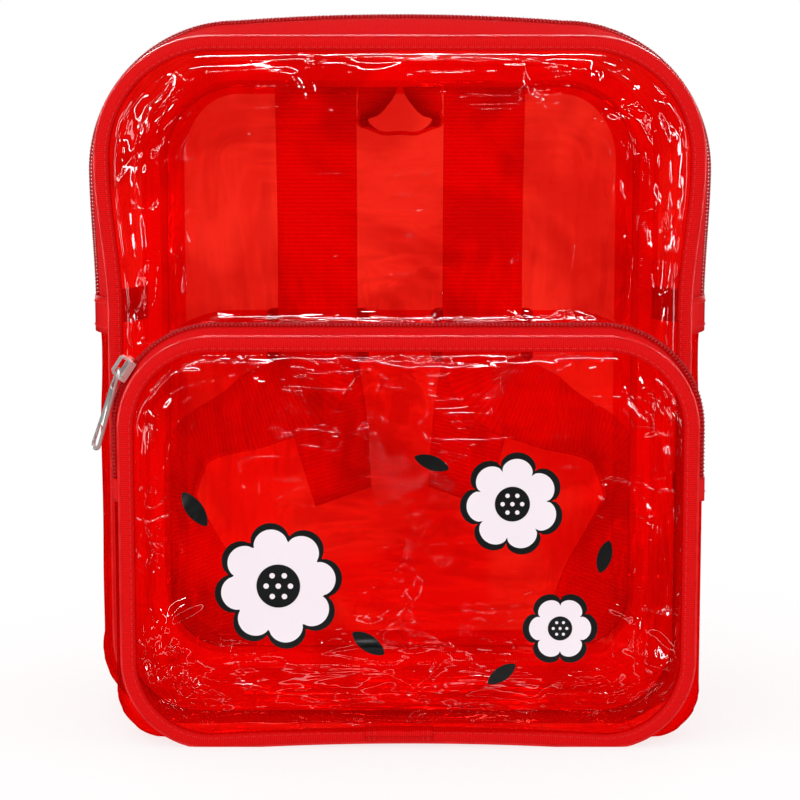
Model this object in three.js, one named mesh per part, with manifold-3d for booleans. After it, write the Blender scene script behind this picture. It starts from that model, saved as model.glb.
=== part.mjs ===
// A child's see-through backpack of tinted PVC film, standing on its base with both zips closed.
// Millimetres, +Z up, the front faces -Y. The origin is on the floor, under the middle of the main body.
// The pieces are laid out from the front seam's plane, and the whole bag is moved back at the end.
import * as THREE from "three";
import { mergeVertices } from "three/addons/utils/BufferGeometryUtils.js";
import Module from "manifold-3d";

// Main body: its widest outline, and how far the front and back seams lie inside that outline
const bodyWidth = 271;
const bodyHeight = 307;
const bodyDepth = 95;
const bodyNarrowing = 2;
const frontSideInset = 7;
const frontNarrowing = 5;
const frontTopInset = 12;
const backSideInset = 14.5;
const backTopInset = 17.5;
const bodyTopRadius = 66;
const bodyTopArch = 3;
const bodyBottomRadius = 24;
const frontTopRadius = 50;
const backTopRadius = 46;
const seamBottomRadius = 38;
const waistBottom = 180;
const waistTop = 242;
const bodySwell = 0.8;
const baseFlatness = 0.6;

// Film, crowns of the panels and the tape that binds the seams
const film = 1;
const frontCrown = 8;
const backCrown = 5;
const pocketCrown = 7;
const crownReach = 24;
const bindingWidth = 5.5;
const bindingThickness = 4;
const backBindingWidth = 12;
const backBindingThickness = 3;
const bindingChamfer = 1;
const gap = 0.3;

// Main zip: the coil runs round the top, and a folded tab covers each end
const coilDistance = 24;
const coilWidth = 4.6;
const coilRise = 1.2;
const coilDrop = 0.7;
const tape = 1;
const rearTapeWidth = 13;
const tabBottom = 169.5;
const tabHeight = 15.5;
const tabThickness = 1.2;

// Front pocket
const pocketSideMargin = 16.7;
const pocketHeight = 171.6;
const pocketDepth = 37;
const pocketShift = 3.5;
const pocketTopRadius = 38;
const pocketBottomRadius = 37;
const pocketRoll = 5.4;
const pocketRollBottomRadius = 22;
const pocketRise = 4;
const pocketBaseRise = 9.4;
const pocketBaseMargin = 1.2;
const pocketArch = 2.6;
const pocketCoilDistance = 13.5;
const pocketRearTapeWidth = 5;
const pocketZipEnd = 111;
const pocketSwell = 1.6;

// Pocket slider, some steps of the outline up from the zip's left end, and its pull, which hangs in its bow
const sliderSteps = 3;
const sliderLength = 9.4;
const sliderWidth = 8.6;
const sliderPlate = 1.2;
const sliderFlange = 0.9;
const sliderClearance = 0.5;
const bowWidth = 2.2;
const bowThickness = 1.1;
const bowOpening = 3;
const bowLength = 9;
const pullLength = 34;
const pullWidth = 6.4;
const pullThickness = 1.3;
const pullEyeWidth = 3.2;
const pullEyeLength = 7.5;
const pullBar = 1.7;
const pullDroop = 16;

// Webbing straps, the adjusters they run through, and the carrying loop
const webbingWidth = 38;
const webbingThickness = 1.6;
const strapSpacing = 79;
const strapStandOff = 22;
const strapTurnBack = 16;
const strapClearance = 2.2;
const adjusterHeight = 160;
const adjusterSide = 5;
const adjusterBar = 4;
const adjusterSlot = 7;
const adjusterThickness = 3;
const adjusterCorner = 2;
const tailLength = 80;
const tailLean = 12;
const tailStandOff = 4;
const anchorSpacing = 176;
const anchorHeight = 5;
const lowerStrapSpread = 18;
const loopWebbing = 18;
const loopSpread = 18.3;
const loopDrop = 33;
const loopStandOff = 14;

// How finely the outlines, bands and straps are stepped
const archSteps = 3;
const topSteps = 3;
const cornerSteps = 8;
const waistSteps = 3;
const crownShares = [0, 0.06, 0.22, 0.5, 1];
const bandShares = [0, 0.13, 0.3, 0.5, 0.72, 0.9, 1];
const ribbonSteps = 3;

const halfBody = bodyWidth / 2;
const tabTop = tabBottom + tabHeight;
const zipEnd = tabBottom + tabHeight / 2;
const waistBreaks = [1, 2].map((i) => tabTop + ((waistTop - tabTop) * i) / waistSteps);
const bodyBreaks = [tabBottom, zipEnd, tabTop, ...waistBreaks];

// The main body's outlines, seen from the front
const crestOutline = {
  halfWidth: halfBody,
  narrowing: bodyNarrowing,
  top: bodyHeight - bodyTopArch,
  topArch: bodyTopArch,
  topRadius: bodyTopRadius,
  bottomRadius: bodyBottomRadius,
  sideBreaks: bodyBreaks,
};
const frontOutline = {
  halfWidth: halfBody - frontSideInset,
  narrowing: frontNarrowing,
  top: bodyHeight - frontTopInset,
  topRadius: frontTopRadius,
  bottomRadius: seamBottomRadius,
  sideBreaks: bodyBreaks,
};
const backOutline = {
  halfWidth: halfBody - backSideInset,
  top: bodyHeight - backTopInset,
  topRadius: backTopRadius,
  bottomRadius: seamBottomRadius,
  sideBreaks: bodyBreaks,
};

// The pocket's outlines: at the front seam, at its widest, and where it is sewn to the main front panel
const panelEdge = bindingWidth + gap;
const pocketHalfWidth = halfBody - pocketSideMargin;
const pocketOutline = {
  halfWidth: pocketHalfWidth,
  top: pocketHeight,
  topRadius: pocketTopRadius,
  bottomRadius: pocketBottomRadius,
  sideBreaks: [pocketZipEnd],
  centre: pocketShift,
  arch: pocketArch,
};
const pocketRollOutline = {
  halfWidth: pocketHalfWidth + pocketRoll,
  top: pocketHeight + pocketRise,
  topRadius: pocketTopRadius + pocketRoll,
  bottomRadius: pocketRollBottomRadius,
  sideBreaks: [pocketZipEnd],
  centre: pocketShift,
  arch: pocketArch,
};
const pocketBaseOutline = {
  halfWidth: frontOutline.halfWidth - frontNarrowing - panelEdge - pocketBaseMargin,
  top: pocketHeight + pocketBaseRise,
  bottom: panelEdge + pocketBaseMargin,
  topRadius: pocketTopRadius + pocketBaseRise,
  bottomRadius: seamBottomRadius - panelEdge - pocketBaseMargin,
  sideBreaks: [pocketZipEnd],
  arch: pocketArch,
};

const smooth = (t) => {
  const s = THREE.MathUtils.clamp(t, 0, 1);
  return s * s * (3 - 2 * s);
};
const mix = THREE.MathUtils.lerp;

// Half width of an outline at a height: the body is drawn in below the pocket's top
function halfWidthAt({ halfWidth, narrowing = 0 }, z) {
  return halfWidth - narrowing * (1 - smooth((z - waistBottom) / (waistTop - waistBottom)));
}

// One outline as stations { x, z, nx, nz }, from the bottom centre anticlockwise, moved inwards by inset
function loopOf(outline, inset = 0) {
  const { halfWidth, top, bottom = 0, topRadius, bottomRadius, sideBreaks } = outline;
  const { centre = 0, arch = 0, topArch = 0 } = outline;
  const side = halfWidth - inset;
  const low = bottom + inset;
  const high = top - inset;
  const lowRadius = bottomRadius - inset;
  const highRadius = topRadius - inset;
  const half = [];
  const corner = (cx, cz, radius, from) => {
    for (let i = 0; i <= cornerSteps; i++) {
      const a = THREE.MathUtils.degToRad(from + (90 * i) / cornerSteps);
      const [nx, nz] = [Math.cos(a), Math.sin(a)];
      half.push({ x: cx + radius * nx, z: cz + radius * nz, nx, nz });
    }
  };
  const base = bottomSteps(outline);
  for (let i = 0; i < base; i++) half.push({ x: ((side - lowRadius) * i) / base, z: low, nx: 0, nz: -1 });
  corner(side - lowRadius, low + lowRadius, lowRadius, -90);
  for (const z of sideBreaks) half.push({ x: side, z, nx: 1, nz: 0 });
  corner(side - highRadius, high - highRadius, highRadius, 0);
  for (let i = topSteps - 1; i >= 0; i--) {
    half.push({ x: ((side - highRadius) * i) / topSteps, z: high, nx: 0, nz: 1 });
  }
  for (const p of half) {
    const upper = p.z > (low + high) / 2;
    const share = p.x / (side - (upper ? highRadius : lowRadius));
    p.x *= halfWidthAt(outline, p.z) / halfWidth;
    p.z += (upper ? topArch : arch) * Math.max(0, 1 - share * share);
  }
  const mirrored = half.slice(1, -1).reverse().map((p) => ({ ...p, x: -p.x, nx: -p.nx }));
  return [...half, ...mirrored].map((p) => ({ ...p, x: p.x + centre }));
}

// Station numbers of an outline: how many there are, and where a side break or a top corner's step falls
const bottomSteps = (outline) => (outline.arch ? archSteps : 1);
const sideStart = (outline) => bottomSteps(outline) + cornerSteps + 1;
const topStart = (outline) => sideStart(outline) + outline.sideBreaks.length;
const stationCount = (outline) => 2 * (topStart(outline) + cornerSteps + topSteps);
const rightBreak = (outline, k) => sideStart(outline) + k;
const leftBreak = (outline, k) => stationCount(outline) - rightBreak(outline, k);

// How far a panel stands proud at a distance from its edge: a quarter of an ellipse, then level
function crownAt(distance, height, reach) {
  const s = 1 - THREE.MathUtils.clamp(distance / reach, 0, 1);
  return height * Math.sqrt(1 - s * s);
}

// Distance of a point from the inside of an outline
function distanceInside(outline, x, z) {
  const { top, bottom = 0, topRadius, bottomRadius } = outline;
  const upper = z > (top + bottom) / 2;
  const radius = upper ? topRadius : bottomRadius;
  const qx = Math.abs(x) - halfWidthAt(outline, z) + radius;
  const qz = upper ? z - top + radius : bottom + radius - z;
  return radius - Math.hypot(Math.max(qx, 0), Math.max(qz, 0)) - Math.min(Math.max(qx, qz), 0);
}

function meshGeometry(points, faces) {
  const geometry = new THREE.BufferGeometry();
  geometry.setAttribute("position", new THREE.Float32BufferAttribute(points.flat(), 3));
  geometry.setIndex(faces.flat());
  geometry.computeVertexNormals();
  return geometry;
}

// Turns a closed skin inside out where its faces point inwards
function facingOut(points, faces) {
  let volume = 0;
  for (const [a, b, c] of faces) {
    const [p, q, r] = [points[a], points[b], points[c]].map((v) => new THREE.Vector3(...v));
    volume += p.dot(q.cross(r));
  }
  return meshGeometry(points, volume < 0 ? faces.map(([a, b, c]) => [a, c, b]) : faces);
}

// Two triangles over a quad. Opposite faces of a thin sheet take the same diagonal, so it stays even.
const quad = (a, b, c, d, other) => (other ? [[a, b, d], [b, c, d]] : [[a, b, c], [a, c, d]]);

// The face that closes a section, zipped up between its two sides
function endFace(start, count) {
  const faces = [];
  for (let k = 0, m = count - 1; k + 1 < m; k++, m--) {
    faces.push([start + k, start + k + 1, start + m]);
    if (k + 1 < m - 1) faces.push([start + k + 1, start + m - 1, start + m]);
  }
  return faces;
}

// A solid through sections of equal point count. closed joins the last section to the first.
function loft(sections, closed) {
  const count = sections[0].length;
  const last = closed ? sections.length : sections.length - 1;
  const faces = [];
  for (let i = 0; i < last; i++) {
    const [from, to] = [i * count, ((i + 1) % sections.length) * count];
    for (let k = 0; k < count; k++) {
      const m = (k + 1) % count;
      faces.push(...quad(from + k, to + k, to + m, from + m, k >= count / 2));
    }
  }
  if (!closed) {
    faces.push(...endFace(0, count));
    faces.push(...endFace(last * count, count).map(([a, b, c]) => [a, c, b]));
  }
  return facingOut(sections.flat(), faces);
}

// A strip of sheet on a surface: for each station a section runs out along the outside and back inside
function stripOn(surface, from, to, shares, inside, outside) {
  const sections = [];
  for (let i = from; i <= to; i++) {
    const outer = shares.map((v) => surface(i, v, outside));
    const inner = shares.map((v) => surface(i, v, inside)).reverse();
    sections.push([...outer, ...inner]);
  }
  return loft(sections, false);
}

// A panel of film: proud of its seam plane by crown on the side that outward points to
function panelOf(outline, edge, plane, outward, crown) {
  const { top, bottom = 0, centre = 0 } = outline;
  const skin = (wall) => {
    const rings = crownShares.map((share) => {
      const rise = crownAt(share, crown - wall, 1);
      const inset = edge + mix(wall, crownReach, share);
      return loopOf(outline, inset).map((p) => [p.x, plane + outward * rise, p.z]);
    });
    return { rings, middle: [centre, plane + outward * (crown - wall), (top + bottom) / 2] };
  };
  const outer = skin(0);
  const under = skin(film);
  const rings = [...outer.rings.reverse(), ...under.rings];
  const count = rings[0].length;
  const half = outer.rings.length - 1;
  const points = [...rings.flat(), outer.middle, under.middle];
  const faces = [];
  for (let i = 0; i < rings.length - 1; i++) {
    for (let k = 0; k < count; k++) {
      const m = (k + 1) % count;
      faces.push(...quad(i * count + k, i * count + m, (i + 1) * count + m, (i + 1) * count + k, i > half));
    }
  }
  const end = (rings.length - 1) * count;
  for (let k = 0; k < count; k++) {
    const m = (k + 1) % count;
    faces.push([rings.length * count, m, k], [rings.length * count + 1, end + k, end + m]);
  }
  return facingOut(points, faces);
}

// The tape folded over a seam: a ring of chamfered section, its outer edge on the outline
function bindingOf(outline, plane, width, thickness) {
  const h = thickness / 2;
  const c = bindingChamfer;
  const section = [
    [0, c - h],
    [c, -h],
    [width, -h],
    [width, h],
    [c, h],
    [0, h - c],
  ];
  const loops = section.map(([inset, y]) => loopOf(outline, inset).map((p) => [p.x, plane + y, p.z]));
  return loft(loops[0].map((_, i) => loops.map((loop) => loop[i])), true);
}

// A band between two seams that swells to a wider outline between them, and lies flat on the floor
function bandSurface({ front, back, widest, yFront, yBack, swell, flatness = 0 }) {
  const count = front.length;
  return (i, v, offset) => {
    const k = ((i % count) + count) % count;
    const [f, b, w] = [front[k], back[k], widest[k]];
    const s = Math.min(1, (1 + flatness * Math.max(0, -w.nz)) * Math.sin(Math.PI * v ** swell));
    const x = mix(mix(f.x, b.x, v), w.x, s) + offset * w.nx;
    const z = mix(mix(f.z, b.z, v), w.z, s) + offset * w.nz;
    const [y0, y1] = [yFront, yBack].map((y) => (typeof y === "function" ? y(f, b) : y));
    return [x, mix(y0, y1, v), z];
  };
}

const bodyBand = bandSurface({
  front: loopOf(frontOutline, bindingWidth / 2),
  back: loopOf(backOutline, bindingWidth / 2),
  widest: loopOf(crestOutline),
  yFront: bindingThickness / 2 + gap,
  yBack: bodyDepth - backBindingThickness / 2 - gap,
  swell: bodySwell,
  flatness: baseFlatness,
});

// The pocket band runs from its front seam back to the main front panel, whose crown it follows
const panelFace = (x, z) => -crownAt(distanceInside(frontOutline, x, z) - panelEdge, frontCrown, crownReach);
const pocketBand = bandSurface({
  front: loopOf(pocketOutline, bindingWidth / 2),
  back: loopOf(pocketBaseOutline),
  widest: loopOf(pocketRollOutline),
  yFront: -pocketDepth + bindingThickness / 2 + gap,
  yBack: (f, b) => panelFace(b.x - film * b.nx, b.z - film * b.nz) - 2 * gap,
  swell: pocketSwell,
  flatness: baseFlatness,
});

const bodyRun = bodyDepth - bindingThickness / 2 - backBindingThickness / 2 - 2 * gap;
const pocketRun = pocketDepth - bindingThickness / 2 - gap - frontCrown;

// The steps across a band, with the edges of its strips among them
function stepsAcross(edges) {
  const free = bandShares.filter((v) => edges.every((edge) => Math.abs(edge - v) > 0.03));
  return [...free, ...edges].sort((a, b) => a - b);
}
const stepsBetween = (steps, from, to) => steps.filter((v) => v >= from && v <= to);

// A zip coil: a low ridge between the two tapes
function coilOn(surface, from, to, at, half) {
  const sections = [];
  for (let i = from; i <= to; i++) {
    sections.push([
      surface(i, at - half, -coilDrop),
      surface(i, at - half, coilRise / 2),
      surface(i, at, coilRise),
      surface(i, at + half, coilRise / 2),
      surface(i, at + half, -coilDrop),
    ]);
  }
  return loft(sections, false);
}

const finishes = {
  film: { color: 0xe01010, roughness: 0.08, metalness: 0, transparent: true, opacity: 0.45 },
  binding: { color: 0xd80812, roughness: 0.75, metalness: 0 },
  tape: { color: 0xc80a12, roughness: 0.85, metalness: 0 },
  coil: { color: 0x9a0610, roughness: 0.5, metalness: 0 },
  webbing: { color: 0xc00810, roughness: 0.8, metalness: 0 },
  moulded: { color: 0xb40a10, roughness: 0.35, metalness: 0 },
  metal: { color: 0xb4b4b0, roughness: 0.28, metalness: 1 },
};

const bag = new THREE.Group();
function add(name, geometry, finish, parent = bag) {
  const mesh = new THREE.Mesh(geometry, new THREE.MeshStandardMaterial(finishes[finish]));
  mesh.name = name;
  parent.add(mesh);
  return mesh;
}

// Main body panels and bindings
function addBody() {
  add("front_panel", panelOf(frontOutline, panelEdge, 0, -1, frontCrown), "film");
  add("front_binding", bindingOf(frontOutline, 0, bindingWidth, bindingThickness), "binding");
  const backEdge = backBindingWidth + gap;
  add("back_panel", panelOf(backOutline, backEdge, bodyDepth, 1, backCrown), "film");
  add("back_binding", bindingOf(backOutline, bodyDepth, backBindingWidth, backBindingThickness), "binding");
}

// The shares of a band at which its front tape, coil, rear tape and rear strip begin and end
function zipEdges(run, distance, rearTape) {
  const at = distance / run;
  const half = coilWidth / 2 / run;
  const space = gap / run;
  const tapeEnd = at + half + rearTape / run;
  return { at, half, front: at - half - space, rear: at + half + space, tapeEnd, strip: tapeEnd + space };
}

// Lowers the two end stations of a lower gusset by a gap, clear of the strips that end above them
function clearedEnds(surface, ends) {
  return (i, v, offset) => {
    const [x, y, z] = surface(i, v, offset);
    return [x, y, ends.includes(i) ? z - gap : z];
  };
}

// Main zip, the film strip behind it, and the film gusset that closes the sides and the base
function addGusset() {
  const zip = zipEdges(bodyRun, coilDistance, rearTapeWidth);
  const steps = stepsAcross([zip.front, zip.rear, zip.tapeEnd, zip.strip]);
  const [from, to] = [rightBreak(crestOutline, 1), leftBreak(crestOutline, 1)];
  const strip = (shares, wall) => stripOn(bodyBand, from, to, shares, -wall, 0);
  add("zip_tape_front", strip(stepsBetween(steps, 0, zip.front), tape), "tape");
  add("zip_tape_rear", strip(stepsBetween(steps, zip.rear, zip.tapeEnd), tape), "tape");
  add("zip_strip_rear", strip(stepsBetween(steps, zip.strip, 1), film), "film");
  const tabEnds = [rightBreak(crestOutline, 0), rightBreak(crestOutline, 2)];
  tabEnds.push(leftBreak(crestOutline, 2), leftBreak(crestOutline, 0));
  add("zip_coil", coilOn(bodyBand, tabEnds[1], tabEnds[2], zip.at, zip.half), "coil");
  const ends = [to, from + stationCount(crestOutline)];
  add("lower_gusset", stripOn(clearedEnds(bodyBand, ends), ...ends, steps, -film, 0), "film");
  const tab = (first, last) => stripOn(bodyBand, first, last, steps, gap, gap + tabThickness);
  add("zip_tab_right", tab(tabEnds[0], tabEnds[1]), "film");
  add("zip_tab_left", tab(tabEnds[2], tabEnds[3]), "film");
}

// Pocket panel, binding, zip and gusset
function addPocket() {
  add("pocket_panel", panelOf(pocketOutline, panelEdge, -pocketDepth, -1, pocketCrown), "film");
  add("pocket_binding", bindingOf(pocketOutline, -pocketDepth, bindingWidth, bindingThickness), "binding");
  const zip = zipEdges(pocketRun, pocketCoilDistance, pocketRearTapeWidth);
  const steps = stepsAcross([zip.front, zip.rear, zip.tapeEnd, zip.strip]);
  const [from, to] = [rightBreak(pocketOutline, 0), leftBreak(pocketOutline, 0)];
  const strip = (shares, wall) => stripOn(pocketBand, from, to, shares, -wall, 0);
  add("pocket_tape_front", strip(stepsBetween(steps, 0, zip.front), tape), "tape");
  add("pocket_tape_rear", strip(stepsBetween(steps, zip.rear, zip.tapeEnd), tape), "tape");
  add("pocket_strip_rear", strip(stepsBetween(steps, zip.strip, 1), film), "film");
  add("pocket_coil", coilOn(pocketBand, from, to, zip.at, zip.half), "coil");
  const ends = [to, from + stationCount(pocketOutline)];
  add("pocket_gusset", stripOn(clearedEnds(pocketBand, ends), ...ends, steps, -film, 0), "film");
}

// A strap of webbing through control sections { at, wide }: its centre line and the way its width points
function ribbon(controls, width, thickness) {
  const curve = new THREE.CatmullRomCurve3(controls.map((c) => new THREE.Vector3(...c.at)));
  const steps = ribbonSteps * (controls.length - 1);
  const sections = [];
  for (let i = 0; i <= steps; i++) {
    const k = Math.min(Math.floor(i / ribbonSteps), controls.length - 2);
    const [w0, w1] = [controls[k].wide, controls[k + 1].wide].map((w) => new THREE.Vector3(...w));
    const along = curve.getTangent(i / steps);
    const wide = w0.lerp(w1, i / ribbonSteps - k).projectOnPlane(along).setLength(width / 2);
    const thick = along.cross(wide).setLength(thickness / 2);
    const at = curve.getPoint(i / steps);
    const corner = (a, b) => at.clone().addScaledVector(wide, a).addScaledVector(thick, b).toArray();
    sections.push([corner(-1, -1), corner(1, -1), corner(1, 1), corner(-1, 1)]);
  }
  return loft(sections, false);
}

// Points of a bend round a bar that lies along X, from its bag side (-1) to its outer side (1)
function bendRound(x, z, under) {
  return [-1, -0.7, 0, 0.7, 1].map((s) => ({
    at: [x, strapRear + s * wrapRadius, z + (under ? -1 : 1) * (barGrip + wrapRadius * Math.sqrt(1 - s * s))],
    wide: [1, 0, 0],
  }));
}

const sewnRear = bodyDepth + backBindingThickness / 2 + gap + webbingThickness / 2;
const backTop = bodyHeight - backTopInset;
const strapRear = bodyDepth + strapStandOff;
const wrapRadius = adjusterThickness / 2 + 2 * gap + webbingThickness / 2;
const barGrip = adjusterBar / 2 - 2 * gap;
const barPitch = adjusterBar + adjusterSlot;

// Shares of the strap's drop below the back panel's crown, and of its stand-off
const strapHang = [[0.43, 0.95], [0.78, 1.06]];
// Shares of the lower strap's rise, of its stand-off, of its way across, and how far its width is turned
const lowerHang = [
  [0, 0, 0, 0],
  [0.04, 0.02, 0, 0],
  [0.1, 0.27, 0.12, 2],
  [0.21, 0.72, 0.4, 10],
  [0.36, 1.2, 0.8, 38],
  [0.54, 1.45, 1, 66],
  [0.7, 1.36, 0.75, 50],
  [0.82, 0.95, -0.35, 20],
  [0.91, 0.72, -0.88, 4],
];
// Shares of the carrying loop's drop, of its stand-off, of its way out from the middle, and how far it is turned
const loopHang = [
  [0, 0, 0.53, 0],
  [0.28, 0.06, 0.54, 0],
  [0.48, 0.4, 0.6, 26],
  [0.66, 0.8, 0.72, 52],
  [0.84, 1, 0.91, 78],
  [1, 1.05, 0.5, 90],
];

function addStrap(side, name) {
  const x = (side * strapSpacing) / 2;
  const barTop = adjusterHeight + barPitch;
  const binding = backTop - backBindingWidth;
  const crown = binding - crownReach;
  const places = [
    [sewnRear, backTop],
    [sewnRear + gap, binding],
    [sewnRear + backCrown + strapClearance, crown],
    ...strapHang.map(([drop, out]) => [mix(sewnRear, strapRear - wrapRadius, out), mix(crown, barTop, drop)]),
  ];
  const hang = places.map(([y, z]) => ({ at: [x, y, z], wide: [1, 0, 0] }));
  const bend = bendRound(x, barTop, true);
  const back = { at: [x, strapRear + wrapRadius, barTop + strapTurnBack], wide: [1, 0, 0] };
  add("shoulder_strap_" + name, ribbon([...hang, ...bend, back], webbingWidth, webbingThickness), "webbing");
}

function addLowerStrap(side, name) {
  const x = (side * strapSpacing) / 2;
  const foot = (side * anchorSpacing) / 2;
  const turned = (angle) => {
    const a = THREE.MathUtils.degToRad(angle);
    return [Math.cos(a), side * Math.sin(a), 0];
  };
  const rise = lowerHang.map(([up, out, across, turn]) => ({
    at: [
      across < 0 ? mix(foot, x, -across) : foot + side * lowerStrapSpread * across,
      mix(sewnRear, strapRear - wrapRadius, out),
      mix(anchorHeight, adjusterHeight - barPitch, up),
    ],
    wide: turned(turn),
  }));
  const inner = { at: [x, strapRear - wrapRadius - 4 * gap, adjusterHeight - barPitch], wide: [1, 0, 0] };
  const outer = { at: [x, strapRear + wrapRadius, adjusterHeight - barPitch], wide: [1, 0, 0] };
  const tail = [[0.4, 0.75, 0.5, -15], [1, 1, 1, -45]].map(([lean, out, down, turn]) => ({
    at: [x - side * tailLean * lean, outer.at[1] + tailStandOff * out, adjusterHeight - tailLength * down],
    wide: turned(turn),
  }));
  const bend = bendRound(x, adjusterHeight, false);
  const controls = [...rise, inner, ...bend, outer, ...tail];
  add("lower_strap_" + name, ribbon(controls, webbingWidth, webbingThickness), "webbing");
}

function rectangle(path, halfWidth, halfHeight, z) {
  path.moveTo(-halfWidth, z - halfHeight);
  path.lineTo(halfWidth, z - halfHeight);
  path.lineTo(halfWidth, z + halfHeight);
  path.lineTo(-halfWidth, z + halfHeight);
  path.closePath();
  return path;
}

// Adjuster: a frame with two slots, the webbing passing round its top and middle bars
function addAdjuster(side, name) {
  const slotHalf = webbingWidth / 2 + 2 * gap;
  const halfWidth = slotHalf + adjusterSide;
  const halfHeight = barPitch + adjusterBar / 2;
  const c = adjusterCorner;
  const shape = new THREE.Shape();
  shape.moveTo(-halfWidth + c, -halfHeight);
  shape.lineTo(halfWidth - c, -halfHeight);
  shape.lineTo(halfWidth, -halfHeight + c);
  shape.lineTo(halfWidth, halfHeight - c);
  shape.lineTo(halfWidth - c, halfHeight);
  shape.lineTo(-halfWidth + c, halfHeight);
  shape.lineTo(-halfWidth, halfHeight - c);
  shape.lineTo(-halfWidth, -halfHeight + c);
  shape.closePath();
  for (const z of [-barPitch / 2, barPitch / 2]) {
    shape.holes.push(rectangle(new THREE.Path(), slotHalf, adjusterSlot / 2, z));
  }
  const frame = new THREE.ExtrudeGeometry(shape, { depth: adjusterThickness, bevelEnabled: false });
  frame.translate(0, 0, -adjusterThickness / 2).rotateX(Math.PI / 2);
  const mesh = add("strap_adjuster_" + name, frame, "moulded");
  mesh.position.set((side * strapSpacing) / 2, strapRear, adjusterHeight);
}

// Carrying loop: both ends sewn side by side to the top of the back binding, the loop hanging between
function addCarryingLoop() {
  const half = loopHang.map(([drop, out, across, turn]) => {
    const a = THREE.MathUtils.degToRad(turn);
    return {
      at: [-loopSpread * across, sewnRear + loopStandOff * out, backTop - loopDrop * drop],
      wide: [Math.cos(a), Math.sin(a), 0],
    };
  });
  const bottom = { at: [0, half[5].at[1], half[5].at[2]], wide: [0, 1, 0] };
  const mirrored = half.map(({ at, wide }) => ({ at: [-at[0], at[1], at[2]], wide: [-wide[0], wide[1], 0] }));
  const controls = [...half, bottom, ...mirrored.reverse()];
  add("carrying_loop", ribbon(controls, loopWebbing, webbingThickness), "webbing");
}

const wasm = await Module();
wasm.setup();

function toManifold(geometry) {
  const bare = new THREE.BufferGeometry();
  bare.setAttribute("position", geometry.getAttribute("position"));
  bare.setIndex(geometry.index);
  const merged = mergeVertices(bare, 1e-4);
  const vertProperties = merged.attributes.position.array;
  const triVerts = new Uint32Array(merged.index.array);
  return new wasm.Manifold(new wasm.Mesh({ numProp: 3, vertProperties, triVerts }));
}

function fromManifold(solid) {
  const { vertProperties, triVerts } = solid.getMesh();
  const geometry = new THREE.BufferGeometry();
  geometry.setAttribute("position", new THREE.BufferAttribute(vertProperties, 3));
  geometry.setIndex(new THREE.BufferAttribute(triVerts, 1));
  geometry.computeVertexNormals();
  return geometry;
}

const box = (x, y, z) => new THREE.BoxGeometry(x, y, z);
const plateTop = coilRise + sliderClearance + sliderPlate;
const pullEye = pullBar / 2 + pullEyeLength;
const hinge = {
  along: bowLength / 2 - bowThickness - pullBar / 2 - 2 * gap,
  height: plateTop + bowOpening / 2,
};

// Slider in its own frame: +X down the zip, +Y across it, +Z away from the bag
function sliderSolid() {
  const plate = box(sliderLength, sliderWidth, sliderPlate).translate(0, 0, plateTop - sliderPlate / 2);
  const depth = coilRise + sliderClearance - gap;
  const sides = [-1, 1].map((side) =>
    box(sliderLength, sliderFlange, depth).translate(
      0,
      (side * (sliderWidth - sliderFlange)) / 2,
      plateTop - sliderPlate - depth / 2,
    ),
  );
  const arch = new THREE.Shape();
  const [end, top, low] = [bowLength / 2, bowOpening + bowThickness, -sliderPlate / 2];
  const corner = bowThickness;
  arch.moveTo(-end, low);
  arch.lineTo(-end, top - corner);
  arch.lineTo(corner - end, top);
  arch.lineTo(end - corner, top);
  arch.lineTo(end, top - corner);
  arch.lineTo(end, low);
  arch.lineTo(end - bowThickness, low);
  arch.lineTo(end - bowThickness, bowOpening);
  arch.lineTo(bowThickness - end, bowOpening);
  arch.lineTo(bowThickness - end, low);
  arch.closePath();
  const bow = new THREE.ExtrudeGeometry(arch, { depth: bowWidth, bevelEnabled: false });
  bow.rotateX(Math.PI / 2).translate(0, bowWidth / 2, plateTop);
  return [...sides, bow].reduce((solid, piece) => solid.add(toManifold(piece)), toManifold(plate));
}

// Pull in its own frame: the hinge at the origin, +X along it; an eye at the bow and a slot at the tip
function pullSolid() {
  const outline = new THREE.Shape();
  const [half, tip, start] = [pullWidth / 2, pullLength - pullBar / 2, -pullBar / 2];
  outline.moveTo(start, -half * 0.7);
  outline.lineTo(start + half * 0.3, -half);
  outline.lineTo(tip - half, -half * 0.8);
  outline.absarc(tip - half, 0, half * 0.8, -Math.PI / 2, Math.PI / 2, false);
  outline.lineTo(start + half * 0.3, half);
  outline.lineTo(start, half * 0.7);
  outline.closePath();
  const slot = (from, to, width) => {
    const hole = new THREE.Path();
    hole.absarc(to - width / 2, 0, width / 2, -Math.PI / 2, Math.PI / 2, false);
    hole.absarc(from + width / 2, 0, width / 2, Math.PI / 2, (3 * Math.PI) / 2, false);
    return hole;
  };
  outline.holes.push(slot(pullBar / 2, pullEye, pullEyeWidth));
  outline.holes.push(slot(tip - pullEyeLength - pullBar, tip - pullBar - half * 0.2, pullEyeWidth * 0.85));
  const options = { depth: pullThickness, bevelEnabled: false, curveSegments: 6 };
  return new THREE.ExtrudeGeometry(outline, options).translate(0, 0, -pullThickness / 2);
}

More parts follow.
